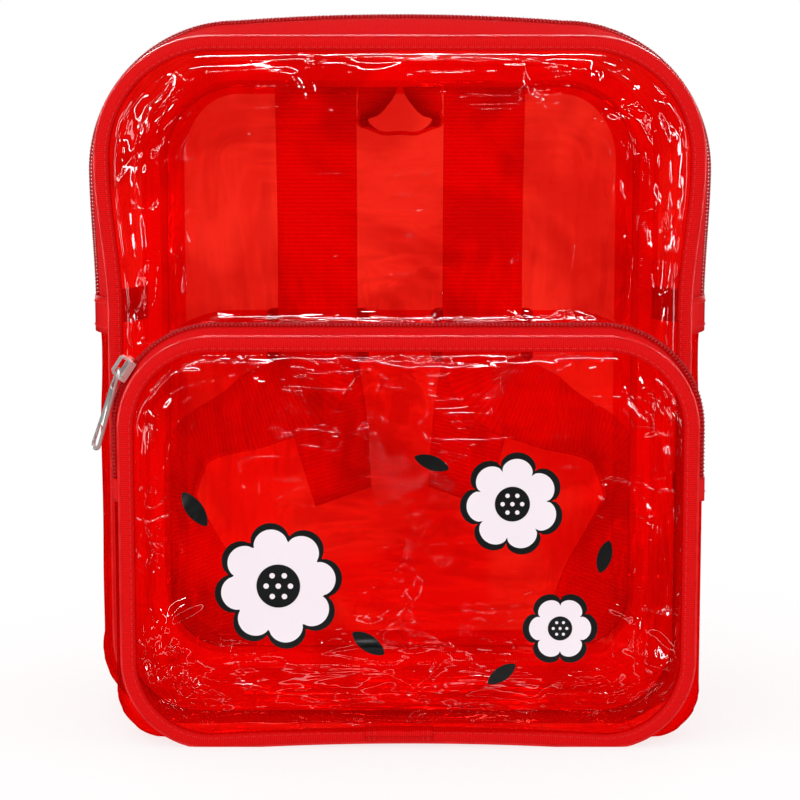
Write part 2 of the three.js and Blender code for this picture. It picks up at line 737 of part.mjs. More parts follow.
function addSlider() {
  const zip = zipEdges(pocketRun, pocketCoilDistance, pocketRearTapeWidth);
  const station = stationCount(pocketOutline) - sideStart(pocketOutline) - 1 - sliderSteps;
  const at = (i, v) => new THREE.Vector3(...pocketBand(i, v, 0));
  const along = at(station + 1, zip.at).sub(at(station - 1, zip.at)).normalize();
  const across = at(station, zip.at + zip.half).sub(at(station, zip.at - zip.half)).normalize().negate();
  const out = along.clone().cross(across).normalize();
  const slider = new THREE.Group();
  slider.position.copy(at(station, zip.at));
  const basis = new THREE.Matrix4().makeBasis(along, out.clone().cross(along), out);
  slider.quaternion.setFromRotationMatrix(basis);
  bag.add(slider);
  add("pocket_slider", fromManifold(sliderSolid()), "metal", slider);
  const pull = add("pocket_pull", pullSolid(), "metal", slider);
  pull.position.set(hinge.along, 0, hinge.height);
  pull.rotation.y = THREE.MathUtils.degToRad(pullDroop);
}

addBody();
addGusset();
addPocket();
for (const [side, name] of [[-1, "left"], [1, "right"]]) {
  addStrap(side, name);
  addAdjuster(side, name);
  addLowerStrap(side, name);
}
addCarryingLoop();
addSlider();
bag.position.y = -bodyDepth / 2;

export default bag;
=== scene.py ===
import math

import bpy
import numpy as np
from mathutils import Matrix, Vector
from mathutils.geometry import tessellate_polygon


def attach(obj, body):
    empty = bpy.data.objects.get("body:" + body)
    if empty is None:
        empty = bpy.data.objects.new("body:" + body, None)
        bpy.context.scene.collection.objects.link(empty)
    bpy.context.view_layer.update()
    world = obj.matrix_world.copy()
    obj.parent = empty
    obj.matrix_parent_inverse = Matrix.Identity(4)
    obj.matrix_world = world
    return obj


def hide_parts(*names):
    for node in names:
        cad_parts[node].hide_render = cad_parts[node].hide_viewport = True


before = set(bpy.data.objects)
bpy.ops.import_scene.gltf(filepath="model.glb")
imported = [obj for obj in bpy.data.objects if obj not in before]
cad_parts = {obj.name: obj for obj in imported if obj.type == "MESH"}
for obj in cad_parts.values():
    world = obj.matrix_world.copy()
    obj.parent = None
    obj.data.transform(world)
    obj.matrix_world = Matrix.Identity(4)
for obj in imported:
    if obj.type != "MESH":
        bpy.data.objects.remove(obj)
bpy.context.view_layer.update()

# Camera
# A long lens looks straight at the front of the bag from a little above its middle, so the sides stay
# upright and a narrow view of the pocket's top shows.
studio = bpy.context.scene
aim = Vector((0, -0.0475, 0.1418))
camera_distance, camera_tilt = 0.900, math.radians(6.6)
camera = bpy.data.objects.new("camera", bpy.data.cameras.new("camera"))
camera.data.lens = 94.63
camera.location = aim + camera_distance * Vector((0, -math.cos(camera_tilt), math.sin(camera_tilt)))
camera.rotation_euler = (math.pi / 2 - camera_tilt, 0, 0)
studio.collection.objects.link(camera)
studio.camera = camera

# Floor and light
# The bag stands on a seamless white sheet in an evenly lit white room. Long soft boxes overhead and beside
# it show only as streaks in the glossy film, and a weak broad sun from the left gives the shapes some side.
studio.view_settings.view_transform = "Standard"
studio.cycles.transparent_max_bounces = 40
studio.cycles.max_bounces = 8
white = (1, 1, 1, 1)


def set_sockets(tree, node, sockets):
    """Give a node's sockets their values, or a link where the value is an output of another node."""
    for name, value in sockets.items():
        if isinstance(value, bpy.types.NodeSocket):
            tree.links.new(value, node.inputs[name])
        else:
            node.inputs[name].default_value = value


def add_node(tree, kind, sockets=(), **settings):
    node = tree.nodes.new("ShaderNode" + kind)
    for name, value in settings.items():
        setattr(node, name, value)
    set_sockets(tree, node, dict(sockets))
    return node


def new_finish(name):
    """A material, its node tree and its shader."""
    finish = bpy.data.materials.new(name)
    finish.use_nodes = True
    return finish, finish.node_tree, finish.node_tree.nodes["Principled BSDF"]


room = bpy.data.worlds.new("white_room")
studio.world = room
room.use_nodes = True
seen = add_node(room.node_tree, "LightPath").outputs["Is Camera Ray"]
brightness = add_node(room.node_tree, "MapRange", {"Value": seen, "To Min": 0.97, "To Max": 1.0})
walls = {"Strength": brightness.outputs["Result"], "Color": white}
set_sockets(room.node_tree, room.node_tree.nodes["Background"], walls)
room.cycles_visibility.glossy = False

sun = bpy.data.objects.new("broad_sun", bpy.data.lights.new("broad_sun", "SUN"))
sun.data.energy = 0.5
sun.data.angle = math.radians(60)
sun.rotation_euler = (math.radians(30), math.radians(-20), 0)
sun.visible_glossy = False
studio.collection.objects.link(sun)

bag_middle = Vector((0, 0, 0.15))
# name, place, width and length in metres, strength. Gloss doesn't see the paper, so the last one, a thin lamp
# lying on it, stands in for the shine that it gives the foot of the bag.
soft_boxes = [
    ("overhead", (0.0, -0.12, 1.25), (0.7, 0.12), 10),
    ("high_front", (0.0, -0.85, 1.05), (0.8, 0.05), 5),
    ("left_window", (-0.75, -1.0, 0.95), (0.26, 0.16), 5),
    ("right_window", (0.8, -1.05, 0.85), (0.2, 0.13), 3),
    ("left_front", (-1.0, -0.85, 0.5), (0.07, 0.9), 4.5),
    ("right_front", (1.0, -0.85, 0.5), (0.07, 0.9), 4.5),
    ("left_side", (-1.2, -0.2, 0.4), (0.2, 0.8), 2.4),
    ("right_side", (1.2, -0.2, 0.4), (0.2, 0.8), 2.4),
    ("back_rim", (0.0, 1.1, 0.7), (1.0, 0.12), 6),
    ("back_fill", (0.0, 1.2, 0.5), (1.4, 0.7), 3.5),
    ("paper_shine", (0.0, -0.17, 0.001), (0.6, 0.014), 0.09),
]
for name, place, (width, length), strength in soft_boxes:
    box = bpy.data.objects.new(name, bpy.data.lights.new(name, "AREA"))
    box.data.shape = "RECTANGLE"
    box.data.size, box.data.size_y = width, length
    box.data.energy = strength
    box.location = place
    box.rotation_euler = (Vector(place) - bag_middle).to_track_quat("Z", "Y").to_euler()
    box.visible_diffuse = False
    box.visible_camera = False
    studio.collection.objects.link(box)
box.rotation_euler = (math.pi, 0, 0)

floor_half = 9.0
floor_mesh = bpy.data.meshes.new("floor")
corners = [(x * floor_half, y * floor_half, 0) for x, y in ((-1, -1), (1, -1), (1, 1), (-1, 1))]
floor_mesh.from_pydata(corners, [], [(0, 1, 2, 3)])
floor = bpy.data.objects.new("floor", floor_mesh)
studio.collection.objects.link(floor)
paper, paper_tree, paper_shader = new_finish("white_paper")
set_sockets(paper_tree, paper_shader, {
    "Base Color": (0.22, 0.22, 0.22, 1), "Emission Color": white, "Emission Strength": 0.775,
    "Roughness": 0.9, "Specular IOR Level": 0,
})
floor_mesh.materials.append(paper)
floor.visible_glossy = False

# Front panel
# One sheet of clear red vinyl, sewn into the front seam all round. It stands proud of the seam, lies in long
# soft waves, and is creased where it turns into the corners. Lengths are in millimetres from here on, and y
# counts from the front seam.
body_width, body_height, body_depth = 271, 307, 95
waist_bottom, waist_top = 180, 242
side_breaks, side_steps = [169.5, 177.25, 185], [60, 3, 3, 28]
front_outline = dict(
    half=body_width / 2 - 7, narrowing=5, top=body_height - 12, top_radius=50, low_radius=38,
    breaks=side_breaks, steps=side_steps,
)
seam_hold, crown_reach = 5.8, 24
front_crown = 8
film_inset, film_step = 2.4, 1.0
crumpled_reach, fold_pitch, folds_round = 20, 7, 2.2


def smooth(t):
    s = np.clip(t, 0, 1)
    return s * s * (3 - 2 * s)


def mix(a, b, t):
    return a + (b - a) * t


def half_width_at(outline, z):
    drawn_in = 1 - smooth((z - waist_bottom) / (waist_top - waist_bottom))
    return outline["half"] - outline.get("narrowing", 0) * drawn_in


def distance_inside(outline, x, z):
    top, low = outline["top"], outline.get("low", 0)
    upper = z > (top + low) / 2
    radius = np.where(upper, outline["top_radius"], outline["low_radius"])
    across = np.abs(x - outline.get("centre", 0)) - half_width_at(outline, z) + radius
    up = np.where(upper, z - top + radius, low + radius - z)
    return radius - np.hypot(np.maximum(across, 0), np.maximum(up, 0)) - np.minimum(np.maximum(across, up), 0)


def crown(distance, height):
    """How far a panel stands out, rising steeply from its seam to a flat middle."""
    s = 1 - np.clip(distance / crown_reach, 0, 1)
    return height * np.sqrt(1 - s * s)


def swells(x, z, size, seed):
    """Smooth seeded heights from -1 to 1, about one swell to a length of size."""
    cells = 64
    table = np.random.default_rng(seed).uniform(-1, 1, (cells, cells))
    turn = 0.5 + seed
    u = (x * math.cos(turn) - z * math.sin(turn)) / size + 31.7
    v = (x * math.sin(turn) + z * math.cos(turn)) / size + 29.3
    i, j = np.floor(u).astype(int), np.floor(v).astype(int)
    s, t = (w * w * w * (w * (6 * w - 15) + 10) for w in (u - i, v - j))
    low, high = (
        mix(table[i % cells, (j + b) % cells], table[(i + 1) % cells, (j + b) % cells], s) for b in (0, 1)
    )
    return mix(low, high, t)


def pinches(x, z, areas, seed):
    """Short rounded creases. areas are rows of middle x and z, spread, number of creases, their mean
    direction in degrees from level, and steepness."""
    draw = np.random.default_rng(seed)
    height = np.zeros_like(x)
    for middle_x, middle_z, spread, number, direction, steepness in areas:
        for _ in range(number):
            cx, cz = draw.normal((middle_x, middle_z), spread / 2)
            turn = math.radians(direction + draw.normal(0, 30))
            length, width = draw.uniform(5, 20), draw.uniform(1.8, 5)
            rise = steepness * width * draw.uniform(0.4, 1) * draw.choice((-1, 1))
            bend = draw.uniform(-0.02, 0.02)
            u = (x - cx) * math.cos(turn) + (z - cz) * math.sin(turn)
            n = (z - cz) * math.cos(turn) - (x - cx) * math.sin(turn) - bend * u * u
            profile = np.clip(1 - (n / width) ** 2, 0, 1) ** 2
            height += rise * profile * np.clip(1 - (u / length) ** 2, 0, 1) ** 2
    return height


def drawn_folds(x, z, rows, width=1.5):
    """Single long folds, each a narrow rounded ridge that bows and dies away at its ends."""
    height = np.zeros_like(x)
    for start_x, start_z, end_x, end_z, bow, rise in rows:
        length = math.hypot(end_x - start_x, end_z - start_z)
        ux, uz = (end_x - start_x) / length, (end_z - start_z) / length
        t = np.clip(((x - start_x) * ux + (z - start_z) * uz) / length, 0, 1)
        arch = 4 * t * (1 - t)
        n = (z - start_z) * ux - (x - start_x) * uz - bow * arch
        height += rise * arch**0.7 * np.exp(-((n / width) ** 2))
    return height


def puckered(distance, z, slack_below, x, size, seed):
    """Small gathers close to the seam, fewer higher up, where the film is pulled taut."""
    low_down = 1 - 0.7 * smooth((z - slack_below) / 40)
    return low_down * swells(x, z, size, seed) * np.exp(-np.clip(distance, 0, None) / 7)


def folds_on_panel(outline, x, z, areas):
    """How crumpled a panel is, from 0 to 1, most by its seam and in its creased areas, and coordinates that
    run round the seam and in from it."""
    inside = distance_inside(outline, x, z)
    taut = 1 - 0.85 * smooth((z / outline["top"] - 0.8) / 0.12)
    share = 0.06 + 0.75 * taut * np.exp(-((inside / crumpled_reach) ** 2))
    for middle_x, middle_z, spread, number, _, steepness in areas:
        near = np.exp(-(((x - middle_x) ** 2 + (z - middle_z) ** 2) / (0.9 * spread) ** 2))
        share = np.maximum(share, min(1.0, steepness * number / 8) * near)
    turn = np.arctan2(z - outline["top"] / 2, x - outline.get("centre", 0))
    lie = np.stack([folds_round * np.cos(turn), folds_round * np.sin(turn), inside / fold_pitch], axis=1)
    return share, lie


def make_piece(name, points, faces, finish, chart=None, folds=None):
    """A smooth mesh piece. points are in millimetres. chart gives each its length along and across, and folds
    says how crumpled the film is there and which way its folds lie."""
    mesh = bpy.data.meshes.new(name)
    places = (np.asarray(points, float).reshape(-1, 3) - (0, body_depth / 2, 0)) * 0.001
    mesh.from_pydata(places.tolist(), [], faces.tolist() if isinstance(faces, np.ndarray) else faces)
    mesh.materials.append(finish)
    mesh.polygons.foreach_set("use_smooth", [True] * len(mesh.polygons))
    if chart is not None:
        ends = np.zeros(len(mesh.loops), int)
        mesh.loops.foreach_get("vertex_index", ends)
        layer = mesh.uv_layers.new(name="chart")
        layer.data.foreach_set("uv", chart.reshape(-1, 2)[ends].ravel())
    if folds is not None:
        worked, lie = (np.ascontiguousarray(values, np.float32).ravel() for values in folds)
        mesh.attributes.new("worked", "FLOAT", "POINT").data.foreach_set("value", worked)
        mesh.attributes.new("lie", "FLOAT_VECTOR", "POINT").data.foreach_set("vector", lie)
    mesh.validate()
    piece = bpy.data.objects.new(name, mesh)
    studio.collection.objects.link(piece)
    return piece


def panel_mesh(outline, inset, step):
    """A grid over the inside of an outline. Its outermost points are drawn back onto the outline itself."""
    xs = np.arange(-outline["half"] - 2 * step, outline["half"] + 2 * step, step) + outline.get("centre", 0)
    zs = np.arange(outline.get("low", 0) - 2 * step, outline["top"] + 2 * step, step)
    x, z = np.meshgrid(xs, zs)
    inside = distance_inside(outline, x, z) - inset
    small = 0.01
    for _ in range(3):
        off = np.minimum(distance_inside(outline, x, z) - inset, 0)
        gx = (distance_inside(outline, x + small, z) - distance_inside(outline, x - small, z)) / (2 * small)
        gz = (distance_inside(outline, x, z + small) - distance_inside(outline, x, z - small)) / (2 * small)
        x, z = x - off * gx, z - off * gz
    held = inside > 0
    cell = held[:-1, :-1] | held[1:, :-1] | held[:-1, 1:] | held[1:, 1:]
    numbers = np.arange(x.size).reshape(x.shape)
    rows, columns = np.nonzero(cell)
    faces = np.stack([
        numbers[rows, columns], numbers[rows, columns + 1],
        numbers[rows + 1, columns + 1], numbers[rows + 1, columns],
    ], axis=1)
    used, renumbered = np.unique(faces, return_inverse=True)
    return x.ravel()[used], z.ravel()[used], renumbered.reshape(faces.shape)


def noise(tree, scale, detail=2.0, roughness=0.5, distortion=0.0, vector=None):
    """Clouds from 0 to 1, about scale of them to a metre, or to a unit of vector."""
    vector = vector or add_node(tree, "TexCoord").outputs["Object"]
    sockets = {"Scale": scale, "Detail": detail, "Roughness": roughness, "Distortion": distortion}
    return add_node(tree, "TexNoise", {"Vector": vector, **sockets}).outputs["Fac"]


def maths(tree, operation, *values):
    return add_node(tree, "Math", dict(enumerate(values)), operation=operation).outputs["Value"]


def ranged(tree, value, start, end, low=0.0, high=1.0, curve="SMOOTHSTEP"):
    """value moved from the range start to end into the range low to high."""
    sockets = {"Value": value, "From Min": start, "From Max": end, "To Min": low, "To Max": high}
    return add_node(tree, "MapRange", sockets, interpolation_type=curve).outputs["Result"]


def blend(tree, share, first, second, kind="MIX"):
    """A colour between two, or with MULTIPLY the first tinted with the second."""
    sockets = {"Factor": share}
    for name, colour in (("A", first), ("B", second)):
        sockets[name] = colour if isinstance(colour, bpy.types.NodeSocket) else (*colour, 1)
    return add_node(tree, "Mix", sockets, data_type="RGBA", blend_type=kind).outputs["Result"]


def bump(tree, height, strength, distance, under=None):
    sockets = {"Height": height, "Strength": strength, "Distance": distance}
    if under:
        sockets["Normal"] = under
    return add_node(tree, "Bump", sockets).outputs["Normal"]


def film_finish(name, pale, deep, cloud=16.0, swirl=0.6):
    """Clear vinyl. It tints what is behind it, cloudily and more so where it is crumpled, and mirrors the
    lights in its folds. Its folds are long ones that lie along the seam and short curled ones, both only
    where it is crumpled. Its tint is also painted lighter and darker in bands along the long folds, and
    darker in thin
    lines beside the fold ridges: painted light and shade for the light that the folds bend."""
    finish, tree, shader = new_finish(name)
    tree.nodes.remove(shader)
    worked = add_node(tree, "Attribute", attribute_name="worked").outputs["Fac"]
    lie = add_node(tree, "Attribute", attribute_name="lie").outputs["Vector"]
    long_folds = noise(tree, 1.0, 2.0, 0.45, 0.4, lie)
    curled = noise(tree, 60, 1.0, 0.45, 0.5)
    long_ridge, curled_ridge = (
        ranged(tree, maths(tree, "ABSOLUTE", maths(tree, "SUBTRACT", folds, crest)), 0, width, 1, 0)
        for folds, crest, width in ((long_folds, 0.5, 0.025), (curled, 0.52, 0.028))
    )
    broken = ranged(tree, noise(tree, 38, 1.0, 0.45), 0.46, 0.58)
    long_broken = maths(tree, "MULTIPLY", long_ridge, ranged(tree, curled, 0.42, 0.58))
    ridges = maths(tree, "MULTIPLY_ADD", curled_ridge, broken, long_broken)
    height = maths(tree, "MULTIPLY_ADD", long_folds, 0.0026, maths(tree, "MULTIPLY", ridges, 0.00045))
    crumple = bump(tree, maths(tree, "MULTIPLY", height, worked), 1, 1)
    relief = bump(tree, noise(tree, 260, 2.0, 0.45), 0.02, 0.0006, crumple)

    # Painted light and shade: along the long folds the tint is pushed lighter and darker in bands.
    painted_fold_streaks = maths(tree, "MULTIPLY", ranged(tree, long_folds, 0.44, 0.62, -0.5, 0.7), worked)
    clouds = noise(tree, cloud, 3.0, 0.45, swirl)
    cloudy = ranged(tree, maths(tree, "ADD", clouds, maths(tree, "MULTIPLY", painted_fold_streaks, 0.22)), 0.42, 0.60)
    slant = add_node(tree, "LayerWeight", {"Blend": 0.25}).outputs["Facing"]
    # Painted shade: the tint is darker in thin lines beside the fold ridges.
    painted_fold_grooves = maths(tree, "MAXIMUM", ridges, ranged(tree, long_folds, 0.36, 0.46, 0.9, 0))
    tint = blend(tree, cloudy, pale, deep)
    for share, shade in (
        (slant, (0.94, 0.2, 0.2)), (worked, (0.96, 0.3, 0.3)),
        (maths(tree, "MULTIPLY", painted_fold_grooves, worked), (0.86, 0.2, 0.2)),
    ):
        tint = blend(tree, share, tint, shade, "MULTIPLY")
    backfacing = add_node(tree, "NewGeometry").outputs["Backfacing"]
    facing_index = ranged(tree, backfacing, 0, 1, 1.5, 1 / 1.5)
    mirrored = add_node(tree, "Fresnel", {"IOR": facing_index, "Normal": relief}).outputs["Fac"]
    clear = add_node(tree, "BsdfTransparent", {"Color": tint})
    milk = add_node(tree, "BsdfDiffuse", {"Color": (0.9, 0.03, 0.02, 1)})
    gloss = add_node(tree, "BsdfAnisotropic", {"Roughness": 0.025, "Color": white, "Normal": relief})
    tinted = add_node(tree, "MixShader", {"Fac": 0.02, 1: clear.outputs["BSDF"], 2: milk.outputs["BSDF"]})
    layers = {1: tinted.outputs["Shader"], 2: gloss.outputs["BSDF"]}
    surface = add_node(tree, "MixShader", {"Fac": maths(tree, "MINIMUM", mirrored, 0.2), **layers})
    tree.links.new(surface.outputs["Shader"], tree.nodes["Material Output"].inputs["Surface"])
    return finish


# start x and z, end x and z, how far the middle bows to the left of the way, height
front_folds = [
    (-104, 272, -95, 234, -4, 0.9), (-98, 226, -34, 264, 6, 0.8), (-6, 216, 54, 260, 7, 0.9),
    (54, 260, 98, 236, 5, 0.8), (70, 196, 112, 232, -5, 0.7), (-112, 240, -108, 176, 4, 0.9),
    (111, 250, 104, 188, 4, 0.9), (-60, 196, -10, 210, 4, 0.6),
]
front_creased = [
    (-108, 252, 26, 16, 60, 0.42), (-112, 205, 24, 12, 80, 0.40), (-95, 225, 26, 8, 50, 0.28),
    (110, 262, 26, 18, -50, 0.42), (112, 215, 26, 12, 85, 0.36), (95, 235, 30, 8, -60, 0.28),
    (-40, 284, 34, 7, 5, 0.4), (48, 278, 22, 9, -35, 0.45), (85, 215, 36, 8, 15, 0.2),
    (0, 215, 90, 10, 25, 0.14), (-110, 60, 50, 16, 80, 0.35), (110, 60, 50, 16, 100, 0.35),
]


def front_relief(x, z):
    distance = distance_inside(front_outline, x, z) - seam_hold
    waves = 1.0 * swells(x, z, 74, 3) + 0.5 * swells(x, z, 38, 8) - 0.3
    puckers = 0.8 * puckered(distance, z, 225, x, 15, 23)
    creased = pinches(x, z, front_creased, 5) + drawn_folds(x, z, front_folds)
    return crown(distance, front_crown) + smooth(distance / 7) * (waves + puckers + creased)


panel_film = film_finish("panel_film", pale=(1.0, 0.17, 0.12), deep=(0.80, 0.085, 0.065), cloud=11, swirl=1.3)
x, z, faces = panel_mesh(front_outline, film_inset, film_step)
points = np.stack([x, -front_relief(x, z), z], axis=1)
folds = folds_on_panel(front_outline, x, z, front_creased)
front_panel = make_piece("front_film", points, faces, panel_film, folds=folds)
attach(front_panel, "bag")
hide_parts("front_panel")

# Front binding
# Ribbed woven tape folded over the raw edges of the front seam and sewn through with one row of red thread.
# A thin bright lip of vinyl shows along its outer edge.
binding_width, binding_thick, binding_row = 5.5, 4, 4.2
base_steps, low_steps, top_steps = 40, 24, 32


def seam_loop(outline, inset=0):
    """Stations x, z and outward nx, nz round an outline, from the middle of its base anticlockwise."""
    low, high = outline.get("low", 0) + inset, outline["top"] - inset
    side = outline["half"] - inset
    low_radius, top_radius = outline["low_radius"] - inset, outline["top_radius"] - inset

    def corner(radius, middle_z, start, end, steps):
        turns = [(math.cos(a), math.sin(a)) for a in np.radians(np.linspace(start, end, steps + 1))]
        return [(side - radius + radius * nx, middle_z + radius * nz, nx, nz) for nx, nz in turns]

    base_shares = np.linspace(0, 1, base_steps, endpoint=False)
    rows = [((side - low_radius) * share, low, 0, -1) for share in base_shares]
    rows += corner(low_radius, low + low_radius, -90, 0, low_steps)
    stops = [low + low_radius, *outline["breaks"], high - top_radius]
    for start, end, steps in zip(stops, stops[1:], outline["steps"]):
        rows += [(side, z, 1, 0) for z in np.linspace(start, end, steps + 1)[1:]]
    rows.pop()
    rows += corner(top_radius, high - top_radius, 0, 90, top_steps)
    rows += [((side - top_radius) * share, high, 0, 1) for share in np.linspace(1, 0, base_steps)[1:]]
    half = np.array(rows, float)
    upper = half[:, 1] > (low + high) / 2
    share = half[:, 0] / np.where(upper, side - top_radius, side - low_radius)
    half[:, 0] *= half_width_at(outline, half[:, 1]) / outline["half"]
    arch = np.where(upper, outline.get("top_arch", 0), outline.get("arch", 0))
    half[:, 1] += arch * np.maximum(0, 1 - share**2)
    loop = np.concatenate([half, half[1:-1][::-1] * (-1, 1, -1, 1)])
    loop[:, 0] += outline.get("centre", 0)
    return loop


def station_of(outline, break_number):
    """The station at one of an outline's side breaks, on the right side."""
    return base_steps + low_steps + sum(outline["steps"][: break_number + 1])


def grid_faces(rows, columns, rows_close=False, columns_close=False):
    numbers = np.arange(rows * columns).reshape(rows, columns)
    if rows_close:
        numbers = np.vstack([numbers, numbers[:1]])
    if columns_close:
        numbers = np.hstack([numbers, numbers[:, :1]])
    a, b, c, d = numbers[:-1, :-1], numbers[:-1, 1:], numbers[1:, 1:], numbers[1:, :-1]
    return np.stack([a, b, c, d], axis=-1).reshape(-1, 4)


def tube_faces(rows, columns, turned=False):
    """The faces of a tube closed at both ends. turned faces look the other way."""
    faces = grid_faces(rows, columns, False, True).tolist()
    faces += [list(range(columns))[::-1], list(range((rows - 1) * columns, rows * columns))]
    return [face[::-1] for face in faces] if turned else faces


def along(points):
    """Length run so far at each point of a path."""
    return np.concatenate([[0], np.cumsum(np.linalg.norm(np.diff(points, axis=0), axis=1))])


def chart_of(run, across):
    return np.stack(np.meshgrid(run, across, indexing="ij"), axis=-1)


def level(loop, y):
    """Points of a seam loop at one depth y, or at a depth for each."""
    return np.stack([loop[:, 0], np.broadcast_to(y, len(loop)), loop[:, 1]], axis=1)


def bound_edge(name, outline, plane, width, thickness, bulge, finish, stations=None):
    """Tape round a seam, its outer edge on the outline: a flat loop of section with rounded edges. With
    stations it covers only those."""
    loop_count = len(seam_loop(outline))
    half = thickness / 2
    round_edge = np.linspace(math.pi / 2, 3 * math.pi / 2, 7)
    section = [(half + half * math.cos(a), half * math.sin(a)) for a in round_edge]
    section += [(width * s, -half - bulge * math.sin(math.pi * s)) for s in (0.4, 0.6, 0.8)]
    section += [(width, -half * 0.8), (width, half * 0.8)]
    section += [(width * s, half + bulge * math.sin(math.pi * s)) for s in (0.8, 0.6, 0.4)]
    section = np.array(section)
    if stations is None:
        stations = np.arange(loop_count + 1) % loop_count
    rings = [level(seam_loop(outline, inset)[stations], plane + y) for inset, y in section]
    closed = np.stack(rings, axis=1)
    count, across = closed.shape[:2]
    girth = along(np.column_stack([section, np.zeros(len(section))]))
    faces = tube_faces(count, across) if count < loop_count else grid_faces(count, across, False, True)
    return make_piece(name, closed, faces, finish, chart_of(along(closed[:, 0]), girth))


def woven_finish(name, colour, rib, depth, dark=0.72, cross=0.6, painted_glow=0.0):
    """Woven tape: ribs across its length, the finer warp along it, and fibres that vary a little. Its colour
    is painted darker where the weave lies low, as shade in its hollows. It may also give off light in its own
    colour on the side that faces the inside of the bag: painted light that brightens that side."""
    finish, tree, shader = new_finish(name)
    chart = add_node(tree, "UVMap", uv_map="chart").outputs["UV"]
    along_across = add_node(tree, "SeparateXYZ", {"Vector": chart}).outputs
    ribs, warp = (
        maths(tree, "SINE", maths(tree, "MULTIPLY", along_across[axis], 2 * math.pi / pitch))
        for axis, pitch in (("X", rib), ("Y", cross))
    )
    weave = maths(tree, "MULTIPLY_ADD", warp, 0.3, ribs)
    height = maths(tree, "MULTIPLY_ADD", noise(tree, 900), 0.9, weave)
    # Painted shade: the colour is darker where the weave lies low, as if shaded in its hollows; the fine
    # noise in the height is the fibres' own variation.
    raised = ranged(tree, height, -1.2, 1.9, curve="LINEAR")
    cloth = blend(tree, raised, [c * dark for c in colour], colour)
    set_sockets(tree, shader, {
        "Base Color": cloth, "Normal": bump(tree, height, 0.7, depth),
        "Roughness": 0.8, "Specular IOR Level": 0.03,
    })
    if painted_glow:
        # Painted light: the faces that look towards the inside of the bag give off light in the tape's own
        # colour.
        facing = add_node(tree, "NewGeometry").outputs["True Normal"]
        to_back = add_node(tree, "SeparateXYZ", {"Vector": facing}).outputs["Y"]
        painted_glow_share = ranged(tree, to_back, -0.35, -0.85, 0, painted_glow, "LINEAR")
        set_sockets(tree, shader, {"Emission Strength": painted_glow_share, "Emission Color": cloth})
    return finish


def clouded_finish(name, dark, light, clouds, roughness, specular=0.5, painted_glow=0.0, grain=0.0):
    """A plain finish whose colour wanders between two, in so many clouds to a metre. grain is how deep the
    same clouds are pressed into it. It may give off light evenly in its own colour, which is painted light."""
    finish, tree, shader = new_finish(name)
    share = noise(tree, clouds)
    colour = blend(tree, share, dark, light)
    set_sockets(tree, shader, {"Base Color": colour, "Roughness": roughness, "Specular IOR Level": specular})
    # Painted light: the finish gives off light evenly in its own colour.
    if painted_glow:
        set_sockets(tree, shader, {"Emission Color": colour, "Emission Strength": painted_glow})
    if grain:
        set_sockets(tree, shader, {"Normal": bump(tree, share, 0.3, grain)})
    return finish


def unit(vectors):
    return vectors / np.maximum(np.linalg.norm(vectors, axis=1, keepdims=True), 1e-9)


def points_at(lengths, run, path):
    """Places on a path at the given lengths along it."""
    return np.array([np.interp(lengths, run, path[:, k]) for k in range(3)]).T


def spokes(around, first, second):
    """Directions round each point, turned from first towards second by the angles around."""
    return np.cos(around)[None, :, None] * first[:, None] + np.sin(around)[None, :, None] * second[:, None]


def stitch_row(name, rows, finish, pitch=3.0, thick=0.42):
    """Stitches along one or more rows of path and outward points. Each is a short thread that bows out of the
    cloth and dives in again at its ends."""
    around = np.radians(np.arange(0, 360, 72))
    # share of the pitch, share of the thickness, rise in thicknesses
    bow = [(0.1, 0.35, -0.3), (0.25, 1.0, 0.3), (0.75, 1.0, 0.3), (0.9, 0.35, -0.3)]
    one = tube_faces(len(bow), len(around))
    points, faces = [], []
    for path, outward in rows:
        outward = np.broadcast_to(np.asarray(outward, float), path.shape)
        run = along(path)
        count = max(2, int(run[-1] / pitch))
        rings = []
        for share, girth, lift in bow:
            here = (np.arange(count) + share) * run[-1] / count
            tangent = unit(points_at(here + 0.05, run, path) - points_at(here - 0.05, run, path))
            normal = unit(points_at(here, run, outward))
            centre = points_at(here, run, path) + normal * (thick * lift)
            reach = spokes(around, normal, np.cross(tangent, normal))
            rings.append(centre[:, None] + thick / 2 * girth * reach)
        for stitch in np.stack(rings, axis=1):
            base = len(bow) * len(around) * len(points)
            points.append(stitch)
            faces += [[base + k for k in face] for face in one]
    return make_piece(name, points, faces, finish)


def stitched_seam(name, outline, inset, y, facing, finish):
    """A row of stitches all round a binding, on the side that faces facing."""
    path = level(seam_loop(outline, inset), y)
    return stitch_row(name, [(np.vstack([path, path[:1]]), (0, facing, 0))], finish)


def vinyl_lip(name, outline, plane, finish, radius=0.8):
    """The gusset's folded edge, a thin round lip along the outer edge of a binding, clear of the floor."""
    loop = seam_loop(outline, -0.35)
    lift = np.maximum(0, radius - loop[:, 1])
    rings = []
    for a in np.radians(np.arange(0, 360, 45)):
        out = radius * math.cos(a)
        moved = np.column_stack([loop[:, 0] + out * loop[:, 2], loop[:, 1] + lift + out * loop[:, 3]])
        rings.append(level(moved, plane + radius * math.sin(a)))
    return make_piece(name, np.stack(rings, axis=1), grid_faces(len(loop), len(rings), True, True), finish)


